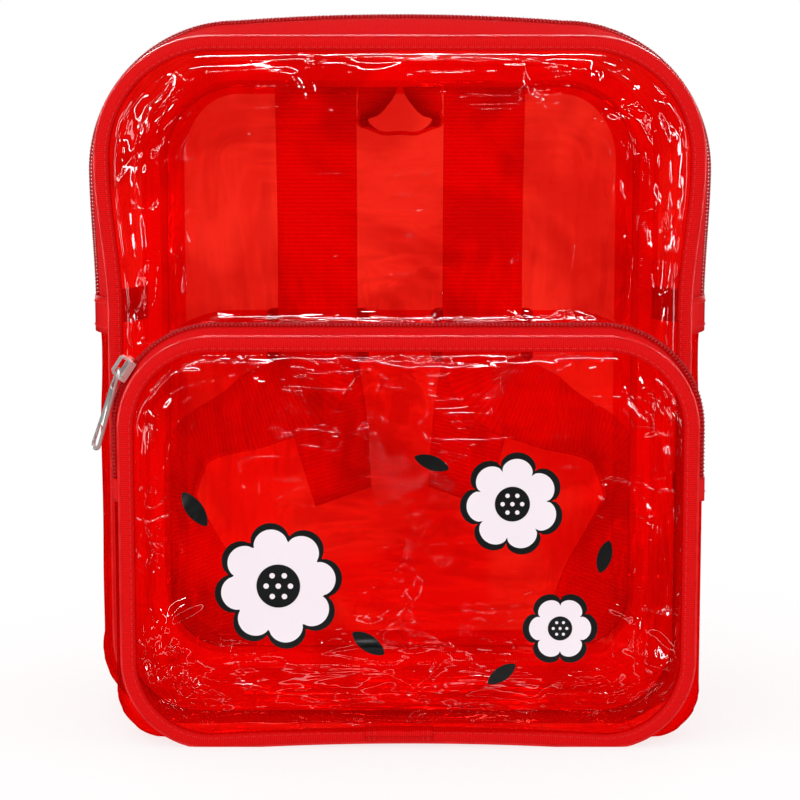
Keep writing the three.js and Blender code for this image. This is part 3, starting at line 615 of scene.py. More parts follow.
binding_tape = woven_finish("ribbed_binding_tape", (0.95, 0.006, 0.007), rib=0.9, depth=0.00018, dark=0.62)
seam_thread = clouded_finish("red_seam_thread", (0.63, 0.014, 0.014), (0.90, 0.02, 0.02), 1500, 0.6, 0.1)
lip_vinyl = clouded_finish("lip_vinyl", (0.62, 0.003, 0.005), (0.92, 0.03, 0.03), 120, 0.12)
front_binding = bound_edge(
    "front_binding_tape", front_outline, 0, binding_width, binding_thick, 0.15, binding_tape
)
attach(front_binding, "bag")
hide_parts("front_binding")
front_stitches = stitched_seam("front_binding_stitches", front_outline, binding_row, -2.1, -1.0, seam_thread)
front_lip = vinyl_lip("front_seam_lip", front_outline, 0, lip_vinyl)
for piece, slot in ((front_stitches, "binding"), (front_lip, "film")):
    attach(piece, "bag")

# Back panel and its binding
# A second sheet of the same vinyl closes the back. A wide flat tape covers its seam with two rows of
# stitches, and the turned-in edge of the seam shows from inside as a darker band.
back_outline = dict(
    half=body_width / 2 - 14.5, top=body_height - 17.5, top_radius=46, low_radius=38,
    breaks=side_breaks, steps=side_steps,
)
back_crown, back_hold, back_tape_width, back_tape_thick = 5, 12.3, 12, 3
back_creased = [
    (-75, 245, 40, 9, 40, 0.3), (75, 240, 40, 9, -40, 0.3), (0, 120, 140, 16, 20, 0.2),
    (0, 30, 90, 16, 0, 0.3),
]


def back_relief(x, z):
    distance = distance_inside(back_outline, x, z) - back_hold
    waves = 0.8 * swells(x, z, 66, 13) + 0.4 * swells(x, z, 30, 14) - 1.0
    creased = np.minimum(0.6, pinches(x, z, back_creased, 15))
    return crown(distance, back_crown) + smooth(distance / 9) * (waves + creased)


x, z, faces = panel_mesh(back_outline, 3, 1.8)
points = np.stack([x, body_depth + back_relief(x, z), z], axis=1)
folds = folds_on_panel(back_outline, x, z, back_creased)
back_panel = make_piece("back_film", points, faces[:, ::-1], panel_film, folds=folds)

# how far in from the seam each row of the turned-in edge lies, and how far in front of the tape
turned_in = [(9, 0.6), (12, 0.9), (15, 1.2), (18, 1.4), (20.5, 1.6)]
fold_film = film_finish("fold_film", pale=(1.0, 0.06, 0.04), deep=(0.93, 0.01, 0.01), cloud=30)
rings = []
for step, (inset, drop) in enumerate(turned_in):
    loop = seam_loop(back_outline, inset)
    loop[:, 1] += 1.3 * step * np.clip(loop[:, 3], 0, 1)
    rings.append(level(loop, body_depth - 1.2 - drop + 0.5 * swells(loop[:, 0], loop[:, 1], 20, 61)))
allowance = np.stack(rings, axis=1)
lie = np.zeros(allowance.shape)
lie[..., 0] = 0.016 * along(allowance[:, 0])[:, None]
lie[..., 2] = 0.3 * np.arange(len(turned_in))
back_fold = make_piece(
    "back_seam_allowance", allowance, grid_faces(*allowance.shape[:2], True, False), fold_film,
    folds=(np.full(lie[..., 0].size, 0.6), lie),
)
# The wide tape gives off light on the side towards the inside of the bag: painted light.
wide_tape = woven_finish(
    "wide_binding_tape", (0.80, 0.004, 0.005), rib=0.9, depth=0.00008, dark=0.88, painted_glow=0.42
)
back_binding = bound_edge(
    "back_binding_tape", back_outline, body_depth, back_tape_width, back_tape_thick, 0.1, wide_tape
)
for piece, slot, node in ((back_panel, "film", "back_panel"), (back_binding, "binding", "back_binding")):
    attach(piece, "bag")
    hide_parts(node)
outer_row, inner_row = (
    stitched_seam(f"back_binding_stitches_{row}", back_outline, inset, body_depth + 1.65, 1.0, seam_thread)
    for row, inset in (("outer", 2.2), ("inner", 9.8))
)
for piece, slot in ((back_fold, "film"), (outer_row, "binding"), (inner_row, "binding")):
    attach(piece, "bag")

# Main zip
# A nylon coil zip runs over the top from one tab to the other, on woven tape: a wide tape in front of the
# coil, a narrower one behind it, and a strip of vinyl from there to the back seam.
crest_outline = dict(
    half=body_width / 2, narrowing=2, top=body_height - 3, top_arch=3, top_radius=66, low_radius=34,
    breaks=side_breaks, steps=side_steps,
)
coil_width, coil_pitch, gap = 4.6, 1.6, 0.3
tape_thick = 0.9


def band_between(front, back, widest, y_front, y_back, swell):
    """The band between two seams, swelling to a wider outline and lying flat on the floor. It takes stations,
    shares across and a height above it, and gives points."""
    count, flatness = len(front), 0.6

    def band(stations, shares, offset=0.0):
        k = np.asarray(stations)[:, None] % count
        v = np.asarray(shares, float)[None, :]
        f, b, w = front[k], back[k], widest[k]
        s = np.minimum(1, (1 + flatness * np.maximum(0, -w[..., 3])) * np.sin(math.pi * v**swell))
        x = mix(mix(f[..., 0], b[..., 0], v), w[..., 0], s) + offset * w[..., 2]
        z = mix(mix(f[..., 1], b[..., 1], v), w[..., 1], s) + offset * w[..., 3]
        y1 = y_back(b) if callable(y_back) else y_back
        return np.stack([x, mix(y_front, y1, v) + 0 * x, z], axis=-1)

    return band


body_band = band_between(
    seam_loop(front_outline, binding_width / 2), seam_loop(back_outline, binding_width / 2),
    seam_loop(crest_outline), 2.3, body_depth - 1.8, 0.8,
)
body_run = body_depth - 4.1
body_count = len(seam_loop(crest_outline))


def zip_edges(run, distance, rear_tape):
    """Shares across a band at which a zip's middle and its tapes' edges lie."""
    at, half, space = distance / run, coil_width / 2 / run, gap / run
    tape_end = at + half + rear_tape / run
    return dict(at=at, half=half, front=at - half - space, rear=at + half + space, tape_end=tape_end)


def strip_piece(name, band, stations, shares, finish, thick=0.0, lift=0.0, worked=0.6):
    """A strip of sheet on a band. With thick it has both faces and its edges, without it is film alone."""
    skin = band(stations, shares, lift)
    skin[..., 2] = np.maximum(skin[..., 2], 0.4)
    rows, columns = skin.shape[:2]
    chart = chart_of(along(skin[:, columns // 2]), along(skin[rows // 2]))
    if not thick:
        lie = np.stack([chart[..., 0] / 60, 0 * chart[..., 0], chart[..., 1] / fold_pitch], axis=-1)
        folds = (np.full(rows * columns, worked), lie)
        return make_piece(name, skin, grid_faces(rows, columns)[:, ::-1], finish, chart, folds)
    under = band(stations, shares, lift - thick)[:, ::-1]
    both = np.concatenate([skin, under], axis=1)
    charts = np.concatenate([chart, chart[:, ::-1]], axis=1)
    return make_piece(name, both, tube_faces(rows, 2 * columns, turned=True), finish, charts)


def coil_piece(name, band, start, end, zip_at, zip_half, finish):
    """The teeth of a closed coil zip: loops of nylon from both tapes, meshing in the middle."""
    wire = 0.42
    # share of the half width across, rise and girth in shares of the half width and of the wire
    loop = [
        (-0.32, 0.55, 0.55), (-0.2, 0.72, 1.1), (0.2, 0.95, 1.0), (0.6, 0.75, 0.9), (0.86, 0.25, 0.8),
        (0.9, -0.1, 0.6),
    ]
    fine = np.arange(start, end + 1)
    middle, front, rear = (band(fine, [zip_at + side * zip_half])[:, 0] for side in (0, -1, 1))
    run = along(middle)
    count = 2 * int(run[-1] / coil_pitch)
    at = (np.arange(count) + 0.5) * run[-1] / count
    centre = points_at(at, run, middle)
    across = points_at(at, run, rear) - points_at(at, run, front)
    slope = np.stack([np.gradient(middle[:, k], run) for k in range(3)], axis=1)
    tangent = unit(points_at(at, run, slope))
    half = np.linalg.norm(across, axis=1, keepdims=True) / 2
    across /= 2 * half
    out = unit(np.cross(across, tangent))
    side = np.where(np.arange(count) % 2, 1, -1)[:, None]
    around = np.radians(np.arange(0, 360, 60))
    rings = []
    for share, rise, girth in loop:
        ring_middle = centre + side * across * (share * half) + out * rise
        rings.append(ring_middle[:, None] + wire * girth * spokes(around, tangent, out))
    each = len(loop) * len(around)
    shells = [tube_faces(len(loop), len(around), turned) for turned in (True, False)]
    faces = [[each * i + k for k in face] for i in range(count) for face in shells[i % 2]]
    return make_piece(name, np.stack(rings, axis=1), faces, finish)


zip_tape = woven_finish("zip_tape_weave", (0.84, 0.004, 0.006), rib=0.8, depth=0.0001, cross=0.8)
zip_nylon = clouded_finish(
    "zip_coil_nylon", (0.4125, 0.00225, 0.0045), (0.55, 0.003, 0.006), 500, 0.4, 0.2
)
strip_film = film_finish("strip_film", pale=(1.0, 0.12, 0.09), deep=(0.93, 0.07, 0.05))
main_zip = zip_edges(body_run, 24, 13)
tab_lower, zip_start, tab_upper = (station_of(crest_outline, number) for number in range(3))
zip_run = np.arange(zip_start, body_count - zip_start + 1)
front_shares = np.linspace(0, main_zip["front"], 9)
rear_shares = np.linspace(main_zip["rear"], main_zip["tape_end"], 6)
strip_shares = np.linspace(main_zip["tape_end"] - 4 / body_run, 1, 20)
zip_front = strip_piece("zip_tape_front_woven", body_band, zip_run, front_shares, zip_tape, thick=tape_thick)
zip_rear = strip_piece("zip_tape_rear_woven", body_band, zip_run, rear_shares, zip_tape, thick=tape_thick)
zip_strip = strip_piece("zip_strip_film", body_band, zip_run, strip_shares, strip_film)
main_coil = coil_piece(
    "zip_coil_teeth", body_band, tab_upper, body_count - tab_upper, main_zip["at"], main_zip["half"],
    zip_nylon,
)
for piece, slot, node in (
    (zip_front, "tape", "zip_tape_front"), (zip_rear, "tape", "zip_tape_rear"),
    (zip_strip, "film", "zip_strip_rear"), (main_coil, "coil", "zip_coil"),
):
    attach(piece, "bag")
    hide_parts(node)

# Lower gusset and zip tabs
# One band of vinyl closes the sides and the base below the zip. Where it meets the zip, a folded tab of thick
# glossy vinyl is sewn across it with a row of stitches at its top and its bottom.
tab_thick, tab_lift = 1.2, 1.5
gusset_film = film_finish("gusset_film", pale=(1.0, 0.07, 0.05), deep=(0.94, 0.03, 0.02))
tab_vinyl = clouded_finish(
    "tab_vinyl", (0.78, 0.003, 0.004), (0.90, 0.006, 0.007), 160, 0.28, 0.25, grain=0.0004
)


def body_gusset(stations, shares, offset=0.0):
    points = body_band(stations, shares, offset)
    free = np.sin(math.pi * np.asarray(shares)) * smooth((points[..., 2] - 12) / 30)
    push = free * (1.1 * swells(points[..., 1], points[..., 2], 34, 31) - 0.5)
    points[..., 0] += push * np.sign(points[..., 0])
    return points


def sewn_across(name, band, station, margin, count, lift):
    """A row of stitches over a band from its front seam to its back seam."""
    shares = np.linspace(margin, 1 - margin, count)
    across = band([station], shares, lift)[0]
    return stitch_row(name, [(across, across - band([station], shares, 0)[0])], seam_thread, pitch=2.6)


gusset_run = np.arange(body_count - zip_start, body_count + zip_start + 1)
lower_gusset = strip_piece(
    "lower_gusset_film", body_gusset, gusset_run, np.linspace(0, 1, 31), gusset_film, worked=0.9
)
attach(lower_gusset, "bag")
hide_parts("lower_gusset")
tab_ends = [("right", tab_lower, tab_upper), ("left", body_count - tab_upper, body_count - tab_lower)]
for side, first, last in tab_ends:
    tab = strip_piece(
        f"zip_tab_{side}_vinyl", body_band, np.arange(first, last + 1), np.linspace(0, 1, 31), tab_vinyl,
        thick=tab_thick, lift=tab_lift,
    )
    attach(tab, "bag")
    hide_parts(f"zip_tab_{side}")
    for place, station in (("low", first + 1), ("high", last - 1)):
        row = sewn_across(f"zip_tab_{side}_stitches_{place}", body_band, station, 0.02, 60, tab_lift + 0.05)
        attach(row, "bag")

# Front pocket
# A shallow second bag on the lower front: a crowned sheet of vinyl in ribbed binding, with its own coil zip
# round the top and a vinyl gusset below, sewn down to the front panel. It is the most crumpled part.
pocket_depth, pocket_crown = 37, 7
pocket_half, pocket_centre, pocket_arch = body_width / 2 - 16.7, 3.5, 2.6
pocket_sides = dict(breaks=[111], steps=[44, 14], arch=pocket_arch)
pocket_outline = dict(
    half=pocket_half, top=171.6, top_radius=38, low_radius=37, centre=pocket_centre, **pocket_sides
)
roll_outline = dict(
    half=pocket_half + 5.4, top=175.6, top_radius=43.4, low_radius=22, centre=pocket_centre, **pocket_sides
)
base_outline = dict(
    half=front_outline["half"] - 12, top=181, low=7, top_radius=47.4, low_radius=31, **pocket_sides
)
pocket_creased = [
    (-100, 36, 24, 22, 70, 0.50), (-92, 20, 26, 18, 10, 0.50), (104, 36, 24, 20, 110, 0.48),
    (92, 18, 30, 16, 5, 0.45), (0, 18, 60, 22, 5, 0.42), (-50, 24, 36, 16, 15, 0.40),
    (55, 26, 36, 16, -10, 0.36), (0, 40, 90, 14, 10, 0.22), (-98, 148, 18, 16, 45, 0.5),
    (104, 146, 18, 14, -45, 0.45), (-104, 90, 30, 10, 85, 0.35), (108, 90, 30, 12, 95, 0.38),
    (0, 158, 90, 16, 5, 0.32), (20, 100, 60, 5, 60, 0.12),
]
pocket_folds = [
    (-34, 42, 4, 44, 3, 1.0), (-4, 34, 30, 26, -5, 0.9), (-80, 30, -52, 24, 2, 1.0),
    (-30, 16, -4, 19, 3, 1.1), (2, 52, 26, 40, 3, 0.8), (-98, 62, -84, 42, -3, 0.9),
    (92, 60, 104, 92, 3, 0.9), (-100, 150, -80, 158, 3, 1.0), (-106, 96, -101, 132, 2, 0.8),
    (20, 22, 62, 18, 3, 1.0), (64, 24, 92, 34, -3, 1.0), (-12, 126, 22, 150, 5, 0.6),
]
# middle x and z, and reach, of what is printed: the ink stiffens the film there
printed = [(-50, 70, 26), (46, 104, 22), (66, 52, 17)]


def clear_of_print(x, z, margin):
    """Shares from 0 on the prints to 1 at a margin outside them, one for each."""
    return [1 - smooth((reach + margin - np.hypot(x - px, z - pz)) / margin) for px, pz, reach in printed]


def pocket_relief(x, z):
    distance = distance_inside(pocket_outline, x, z) - seam_hold
    waves = 0.9 * swells(x, z, 58, 41) + 0.6 * swells(x, z, 27, 42) - 0.3
    puckers = 0.9 * puckered(distance, z, 100, x, 13, 45)
    stiffened = np.prod([0.15 + 0.85 * clear for clear in clear_of_print(x, z, 8)], axis=0)
    creased = stiffened * (pinches(x, z, pocket_creased, 43) + drawn_folds(x, z, pocket_folds, 1.3))
    return crown(distance, pocket_crown) + smooth(distance / 6) * (waves + puckers + creased)


pocket_film = film_finish("pocket_film", pale=(1.0, 0.52, 0.44), deep=(1.0, 0.19, 0.15), cloud=20)
x, z, faces = panel_mesh(pocket_outline, film_inset, film_step)
points = np.stack([x, -pocket_depth - pocket_relief(x, z), z], axis=1)
worked, lie = folds_on_panel(pocket_outline, x, z, pocket_creased)
worked *= np.prod(clear_of_print(x, z, 6), axis=0)
pocket_panel = make_piece("pocket_film", points, faces, pocket_film, folds=(worked, lie))

pocket_binding = bound_edge(
    "pocket_binding_tape", pocket_outline, -pocket_depth, binding_width, binding_thick, 0.15, binding_tape
)
pocket_stitches = stitched_seam(
    "pocket_binding_stitches", pocket_outline, binding_row, -pocket_depth - 2.1, -1.0, seam_thread
)
pocket_count = len(seam_loop(pocket_outline))
join_stations = np.arange(-9, 6) % pocket_count
pocket_join = bound_edge(
    "pocket_binding_join", pocket_outline, -pocket_depth, 5.9, 4.9, 0.15, binding_tape, stations=join_stations
)
join_ends = [level(seam_loop(pocket_outline, inset), -pocket_depth - 2.55) for inset in (0.6, 5.4)]
join_rows = [
    (np.stack([end[station] for end in join_ends]), (0, -1.0, 0)) for station in join_stations[[1, 2, -3, -2]]
]
join_stitches = stitch_row("pocket_join_stitches", join_rows, seam_thread, pitch=2.2)
pocket_lip = vinyl_lip("pocket_seam_lip", pocket_outline, -pocket_depth, lip_vinyl)


def on_front_panel(back):
    return -front_relief(back[..., 0] - back[..., 2], back[..., 1] - back[..., 3]) - 0.4


pocket_band = band_between(
    seam_loop(pocket_outline, binding_width / 2), seam_loop(base_outline), seam_loop(roll_outline),
    2.3 - pocket_depth, on_front_panel, 1.6,
)
pocket_run = pocket_depth - 2.3 - front_crown
pocket_zip = zip_edges(pocket_run, 13.5, 5)
zip_foot = station_of(pocket_outline, 0)
pocket_zip_run = np.arange(zip_foot, pocket_count - zip_foot + 1)
front_shares = np.linspace(0, pocket_zip["front"], 7)
rear_shares = np.linspace(pocket_zip["rear"], pocket_zip["tape_end"], 5)
strip_shares = np.linspace(pocket_zip["tape_end"] - 2 / pocket_run, 1, 8)
gusset_shares = np.linspace(0, 1, 21)
pocket_front = strip_piece(
    "pocket_tape_front_woven", pocket_band, pocket_zip_run, front_shares, zip_tape, thick=tape_thick
)
pocket_rear = strip_piece(
    "pocket_tape_rear_woven", pocket_band, pocket_zip_run, rear_shares, zip_tape, thick=tape_thick
)
pocket_strip = strip_piece("pocket_strip_film", pocket_band, pocket_zip_run, strip_shares, strip_film)
pocket_coil = coil_piece(
    "pocket_coil_teeth", pocket_band, zip_foot, pocket_count - zip_foot, pocket_zip["at"], pocket_zip["half"],
    zip_nylon,
)
pocket_gusset_run = np.arange(pocket_count - zip_foot, pocket_count + zip_foot + 1)
pocket_gusset = strip_piece("pocket_gusset_film", pocket_band, pocket_gusset_run, gusset_shares, gusset_film)
for piece, slot, node in (
    (pocket_panel, "film", "pocket_panel"), (pocket_binding, "binding", "pocket_binding"),
    (pocket_front, "tape", "pocket_tape_front"), (pocket_rear, "tape", "pocket_tape_rear"),
    (pocket_strip, "film", "pocket_strip_rear"), (pocket_coil, "coil", "pocket_coil"),
    (pocket_gusset, "film", "pocket_gusset"),
):
    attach(piece, "bag")
    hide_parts(node)
sewn_on = [
    (pocket_stitches, "binding"), (pocket_join, "binding"), (join_stitches, "binding"), (pocket_lip, "film"),
]
for side, first in (("right", zip_foot - 5), ("left", pocket_count - zip_foot)):
    stations = np.arange(first, first + 6)
    hem = strip_piece(
        f"pocket_hem_{side}", pocket_band, stations, gusset_shares, tab_vinyl, thick=tape_thick, lift=1.1
    )
    row = sewn_across(f"pocket_hem_{side}_stitches", pocket_band, first + 2, 0.05, 40, 1.15)
    sewn_on += [(hem, "film"), (row, "film")]
for piece, slot in sewn_on:
    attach(piece, "bag")

# Printed flowers
# Three outlined daisies and a few leaves are screen printed on the pocket in opaque white and black ink, and
# follow every wave of the film.


def worn_finish(name, colour, clouds, detail, smoothest, roughest, metallic=0.0, mottled=1.0):
    """A finish that is smoother in some places than in others, and with mottled darker there."""
    finish, tree, shader = new_finish(name)
    share = noise(tree, clouds, detail)
    darker = [c * mottled for c in colour]
    set_sockets(tree, shader, {
        "Base Color": blend(tree, share, darker, colour) if mottled < 1 else (*colour, 1),
        "Roughness": ranged(tree, share, 0, 1, smoothest, roughest, "LINEAR"),
        "Metallic": metallic,
    })
    return finish


white_ink = worn_finish("white_ink", (0.93, 0.83, 0.88), 60, 2, 0.4, 0.55, mottled=0.96)
black_ink = worn_finish("black_ink", (0.003, 0.004, 0.004), 60, 2, 0.35, 0.5, mottled=0.96)
full_turn = 2 * math.pi


def printed_shape(name, centre, edge, height, finish, hollow=0.0):
    """A flat print of one shape, edge giving its points round centre, laid on the pocket's film. With hollow
    it is only the rim outside that share of the shape."""
    count, ring_count = len(edge), 15
    rings = np.linspace(max(hollow, 1 / ring_count), 1, ring_count)
    flat = np.concatenate([edge * share for share in rings]) + centre
    faces = grid_faces(ring_count, count, False, True)[:, [0, 3, 2, 1]]
    if not hollow:
        flat = np.vstack([[centre], flat])
        middle = [[0, 1 + k, 1 + (k + 1) % count] for k in range(count)]
        faces = (faces + 1).tolist() + middle
    x, z = flat.T
    y = -pocket_depth - pocket_relief(x, z) - height
    return make_piece(name, np.stack([x, y, z], axis=1), faces, finish)


def petals(radius, count, turn, grow=0.0):
    notch, roundness = 0.26, 0.55
    a = np.linspace(0, full_turn, 24 * count, endpoint=False)
    r = radius * (1 - notch * (1 - np.abs(np.cos(count * (a - turn) / 2)) ** roundness)) + grow
    return np.stack([r * np.cos(a), r * np.sin(a)], axis=1)


def disc(radius):
    a = np.linspace(0, full_turn, 48, endpoint=False)
    return np.stack([radius * np.cos(a), radius * np.sin(a)], axis=1)


def leaf(length, width, turn):
    a = np.linspace(0, full_turn, 40, endpoint=False)
    u, v = length / 2 * np.cos(a), width / 2 * np.sin(a) * np.abs(np.sin(a)) ** 0.4
    x, z = u * math.cos(turn) - v * math.sin(turn), u * math.sin(turn) + v * math.cos(turn)
    return np.stack([x, z], axis=1)


prints = []
# size, middle x and z, radius, number of petals, turn in degrees
daisies = [("large", -50, 70, 25, 8, 10), ("middle", 46, 104, 20, 7, 30), ("small", 66, 52, 14, 6, 0)]
for size, px, pz, radius, count, turn in daisies:
    turn = math.radians(turn)
    rim, inside = petals(radius, count, turn, grow=1.5), petals(radius - 1.2, count, turn)
    prints += [
        printed_shape(f"daisy_{size}_outline", (px, pz), rim, 0.12, black_ink, 0.76),
        printed_shape(f"daisy_{size}_petals", (px, pz), inside, 0.22, white_ink),
        printed_shape(f"daisy_{size}_middle", (px, pz), disc(radius * 0.36), 0.32, black_ink),
    ]
    for seed in range(7):
        place, reach = full_turn * seed / 6, radius * (0.2 if seed < 6 else 0)
        spot = (px + reach * math.cos(place), pz + reach * math.sin(place))
        prints.append(printed_shape(f"daisy_{size}_seed_{seed}", spot, disc(radius * 0.045), 0.42, white_ink))
# middle x and z, length, width, turn in degrees
leaves = [
    (-84, 102, 17, 7, 125), (-13, 46, 16, 7, -35), (13, 121, 15, 6, 160), (84, 82, 14, 6, 75),
    (42, 33, 14, 6, 35),
]
for number, (px, pz, length, width, turn) in enumerate(leaves):
    edge = leaf(length, width, math.radians(turn))
    prints.append(printed_shape(f"leaf_{number}", (px, pz), edge, 0.12, black_ink))
for shape in prints:
    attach(shape, "bag")

# Slider and pull
# The pocket's slider is cast metal in satin nickel, parked near the left end. Its flat pull, pierced at both
# ends, hangs from the slider's bow.
nickel = worn_finish("satin_nickel", (0.74, 0.73, 0.71), 400, 4, 0.2, 0.42, metallic=0.55)


def refinish(node, finish, rounding):
    """Give a solid of the frame its finish, and round its edges over."""
    node.data.materials.clear()
    node.data.materials.append(finish)
    weld = node.modifiers.new("weld", "WELD")
    weld.merge_threshold = 0.00001
    rounded = node.modifiers.new("rounding", "BEVEL")
    rounded.width, rounded.segments, rounded.limit_method = rounding, 3, "ANGLE"


refinish(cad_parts["pocket_slider"], nickel, 0.0004)

hinge = np.array([-117.26, -21.88, 157.0])
down, side_on, face_on = np.array([[-0.310, 0.147, -0.939], [-0.204, 0.955, 0.217], [-0.929, -0.259, 0.266]])
pull_length, pull_thick, pull_twist = 37.5, 1.3, math.radians(30)
pull_edge = 0.32


def capsule(start, end, half_start, half_end):
    """A closed loop with round ends, and its outward normals."""
    turn = np.linspace(-math.pi / 2, math.pi / 2, 12)
    far = np.stack([end - half_end + half_end * np.cos(turn), half_end * np.sin(turn)], axis=1)
    near = np.stack([start + half_start - half_start * np.cos(turn), -half_start * np.sin(turn)], axis=1)
    loop = np.concatenate([far, near])
    tangent = unit(np.roll(loop, -1, axis=0) - np.roll(loop, 1, axis=0))
    return loop, np.stack([tangent[:, 1], -tangent[:, 0]], axis=1)


def pull_piece(name, finish):
    """A flat plate with an eye at the bow and a long slot at the tip, all its edges rounded over."""
    # how far in from the edge, and the height in thicknesses
    upper_rim = [(pull_edge, 0.5), (0.3 * pull_edge, 0.41), (0, 0.26)]
    rim = upper_rim + [(inset, -lift) for inset, lift in upper_rim[::-1]]
    loops = [
        (capsule(-0.85, pull_length - 0.85, 2.9, 2.7), 1), (capsule(0.85, 8.6, 1.5, 1.6), -1),
        (capsule(pull_length - 12.4, pull_length - 2.6, 1.35, 1.4), -1),
    ]
    points, faces, start, caps = [], [], 0, []
    for (loop, normal), side in loops:
        grid = np.stack([
            np.column_stack([loop - side * inset * normal, np.full(len(loop), lift * pull_thick)])
            for inset, lift in rim
        ], axis=1)
        wall = grid_faces(len(loop), len(rim), True, False)
        faces += ((wall if side < 0 else wall[:, ::-1]) + start).tolist()
        caps.append((grid, start + np.arange(len(loop)) * len(rim)))
        points.append(grid.reshape(-1, 3))
        start += len(loop) * len(rim)
    for row, flipped in ((0, False), (len(rim) - 1, True)):
        rims = [[Vector(p) for p in grid[:, row]] for grid, _ in caps]
        flat = sum(rims, [])
        numbers = np.concatenate([first + row for _, first in caps])
        for triangle in tessellate_polygon(rims):
            a, b, c = (np.array(flat[k]) for k in triangle)
            face = [int(numbers[k]) for k in triangle]
            faces.append(face if (np.cross(b - a, c - a)[2] > 0) != flipped else face[::-1])
    far, wide, deep = np.concatenate(points).T
    twist = pull_twist * smooth((far - 3) / 6)
    wide, deep = wide * np.cos(twist) - deep * np.sin(twist), wide * np.sin(twist) + deep * np.cos(twist)
    placed = hinge + far[:, None] * down + wide[:, None] * side_on + deep[:, None] * face_on
    return make_piece(name, placed, faces, finish)


pull = pull_piece("pocket_pull_nickel", nickel)
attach(pull, "pull")
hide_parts("pocket_pull")

# Shoulder straps and lower straps
# Flat woven webbing. Each shoulder strap is sewn to the top of the back binding, hangs clear of the back and
# turns round its adjuster's upper bar. Each lower strap comes up from the base, bows out to the side, passes
# round the adjuster's lower bars and hangs down as a free tail.
webbing_width, webbing_thick, strap_x = 38, 1.6, 39.5
strap_foot, strap_bow = 88, 18
sewn_rear = body_depth + back_tape_thick / 2 + gap + webbing_thick / 2
back_top, strap_rear = back_outline["top"], body_depth + 22
adjuster_height, adjuster_bar, adjuster_slot, adjuster_thick = 160, 4, 7, 3
wrap = adjuster_thick / 2 + 2 * gap + webbing_thick / 2
grip, bar_pitch = adjuster_bar / 2 - 2 * gap, adjuster_bar + adjuster_slot
bar_top, bar_low = adjuster_height + bar_pitch, adjuster_height - bar_pitch
crown_foot = back_top - back_tape_width - crown_reach
# The webbing gives off light on the side that faces the bag: painted light.
webbing = woven_finish(
    "ribbed_webbing", (0.78, 0.003, 0.006), rib=1.9, depth=0.00022, dark=0.8, cross=1.1, painted_glow=0.5
)
# The moulded acetal gives off a little light in its own colour: painted light.
moulded = clouded_finish(
    "moulded_acetal", (0.54, 0.003, 0.0045), (0.72, 0.004, 0.006), 500, 0.4, 0.2, painted_glow=0.12
)


def ribbon_path(controls, steps=9):
    """A smooth path through controls, pairs of place and the way that the width points there."""
    at = np.array([c[0] for c in controls], float)
    wide = np.array([c[1] for c in controls], float)
    spots = np.vstack([2 * at[0] - at[1], at, 2 * at[-1] - at[-2]])
    centres, widths = [], []
    for i in range(len(at) - 1):
        p0, p1, p2, p3 = spots[i:i + 4]
        d0, d1, d2 = (max(np.linalg.norm(b - a) ** 0.5, 1e-6) for a, b in ((p0, p1), (p1, p2), (p2, p3)))
        m1 = ((p1 - p0) / d0 - (p2 - p0) / (d0 + d1) + (p2 - p1) / d1) * d1
        m2 = ((p2 - p1) / d1 - (p3 - p1) / (d1 + d2) + (p3 - p2) / d2) * d1
        for t in np.linspace(0, 1, steps, endpoint=i == len(at) - 2):
            a, b = 2 * t**3 - 3 * t**2 + 1, t**3 - 2 * t**2 + t
            centres.append(a * p1 + b * m1 + (1 - a) * p2 + (t**3 - t**2) * m2)
            widths.append(mix(wide[i], wide[i + 1], t))
    centres, widths = np.array(centres), np.array(widths)
    tangent = unit(np.gradient(centres, axis=0))
    widths = unit(widths - tangent * np.sum(widths * tangent, axis=1, keepdims=True))
    return centres, widths, np.cross(tangent, widths)


def webbing_piece(name, controls, width):
    centres, wide, deep = ribbon_path(controls)
    face = [
        (-0.5, 0.12), (-0.494, 0.4), (-0.48, 0.5), (-0.25, 0.5), (0, 0.5), (0.25, 0.5), (0.48, 0.5),
        (0.494, 0.4), (0.5, 0.12),
    ]
    across, through = np.array(face + [(-a, -b) for a, b in face]).T
    points = centres[:, None] + (across * width)[:, None] * wide[:, None]
    points = points + (through * webbing_thick)[:, None] * deep[:, None]
    chart = chart_of(along(centres), across * width)
    return make_piece(name, points, tube_faces(*points.shape[:2], turned=True), webbing, chart)


def box_stitch(name, x, z, half_width, half_height, y):
    """The sewn patch that holds an end of webbing: a rectangle of stitches and a cross in it."""
    turns = ((-1, -1), (1, -1), (1, 1), (-1, 1), (-1, -1))
    corners = [(x + a * half_width, y, z + b * half_height) for a, b in turns]
    lines = [*zip(corners, corners[1:]), (corners[0], corners[2]), (corners[1], corners[3])]
    rows = [(np.linspace(start, end, 12), (0, 1.0, 0)) for start, end in lines]
    return stitch_row(name, rows, seam_thread, pitch=2.6, thick=0.5)


def bend_round(x, z, under):
    """Controls for webbing that passes round a bar, under it or over it."""
    side = -1 if under else 1
    return [
        ((x, strap_rear + s * wrap, z + side * (grip + wrap * math.sqrt(1 - s * s))), (1, 0, 0))
        for s in (-1, -0.7, 0, 0.7, 1)
    ]


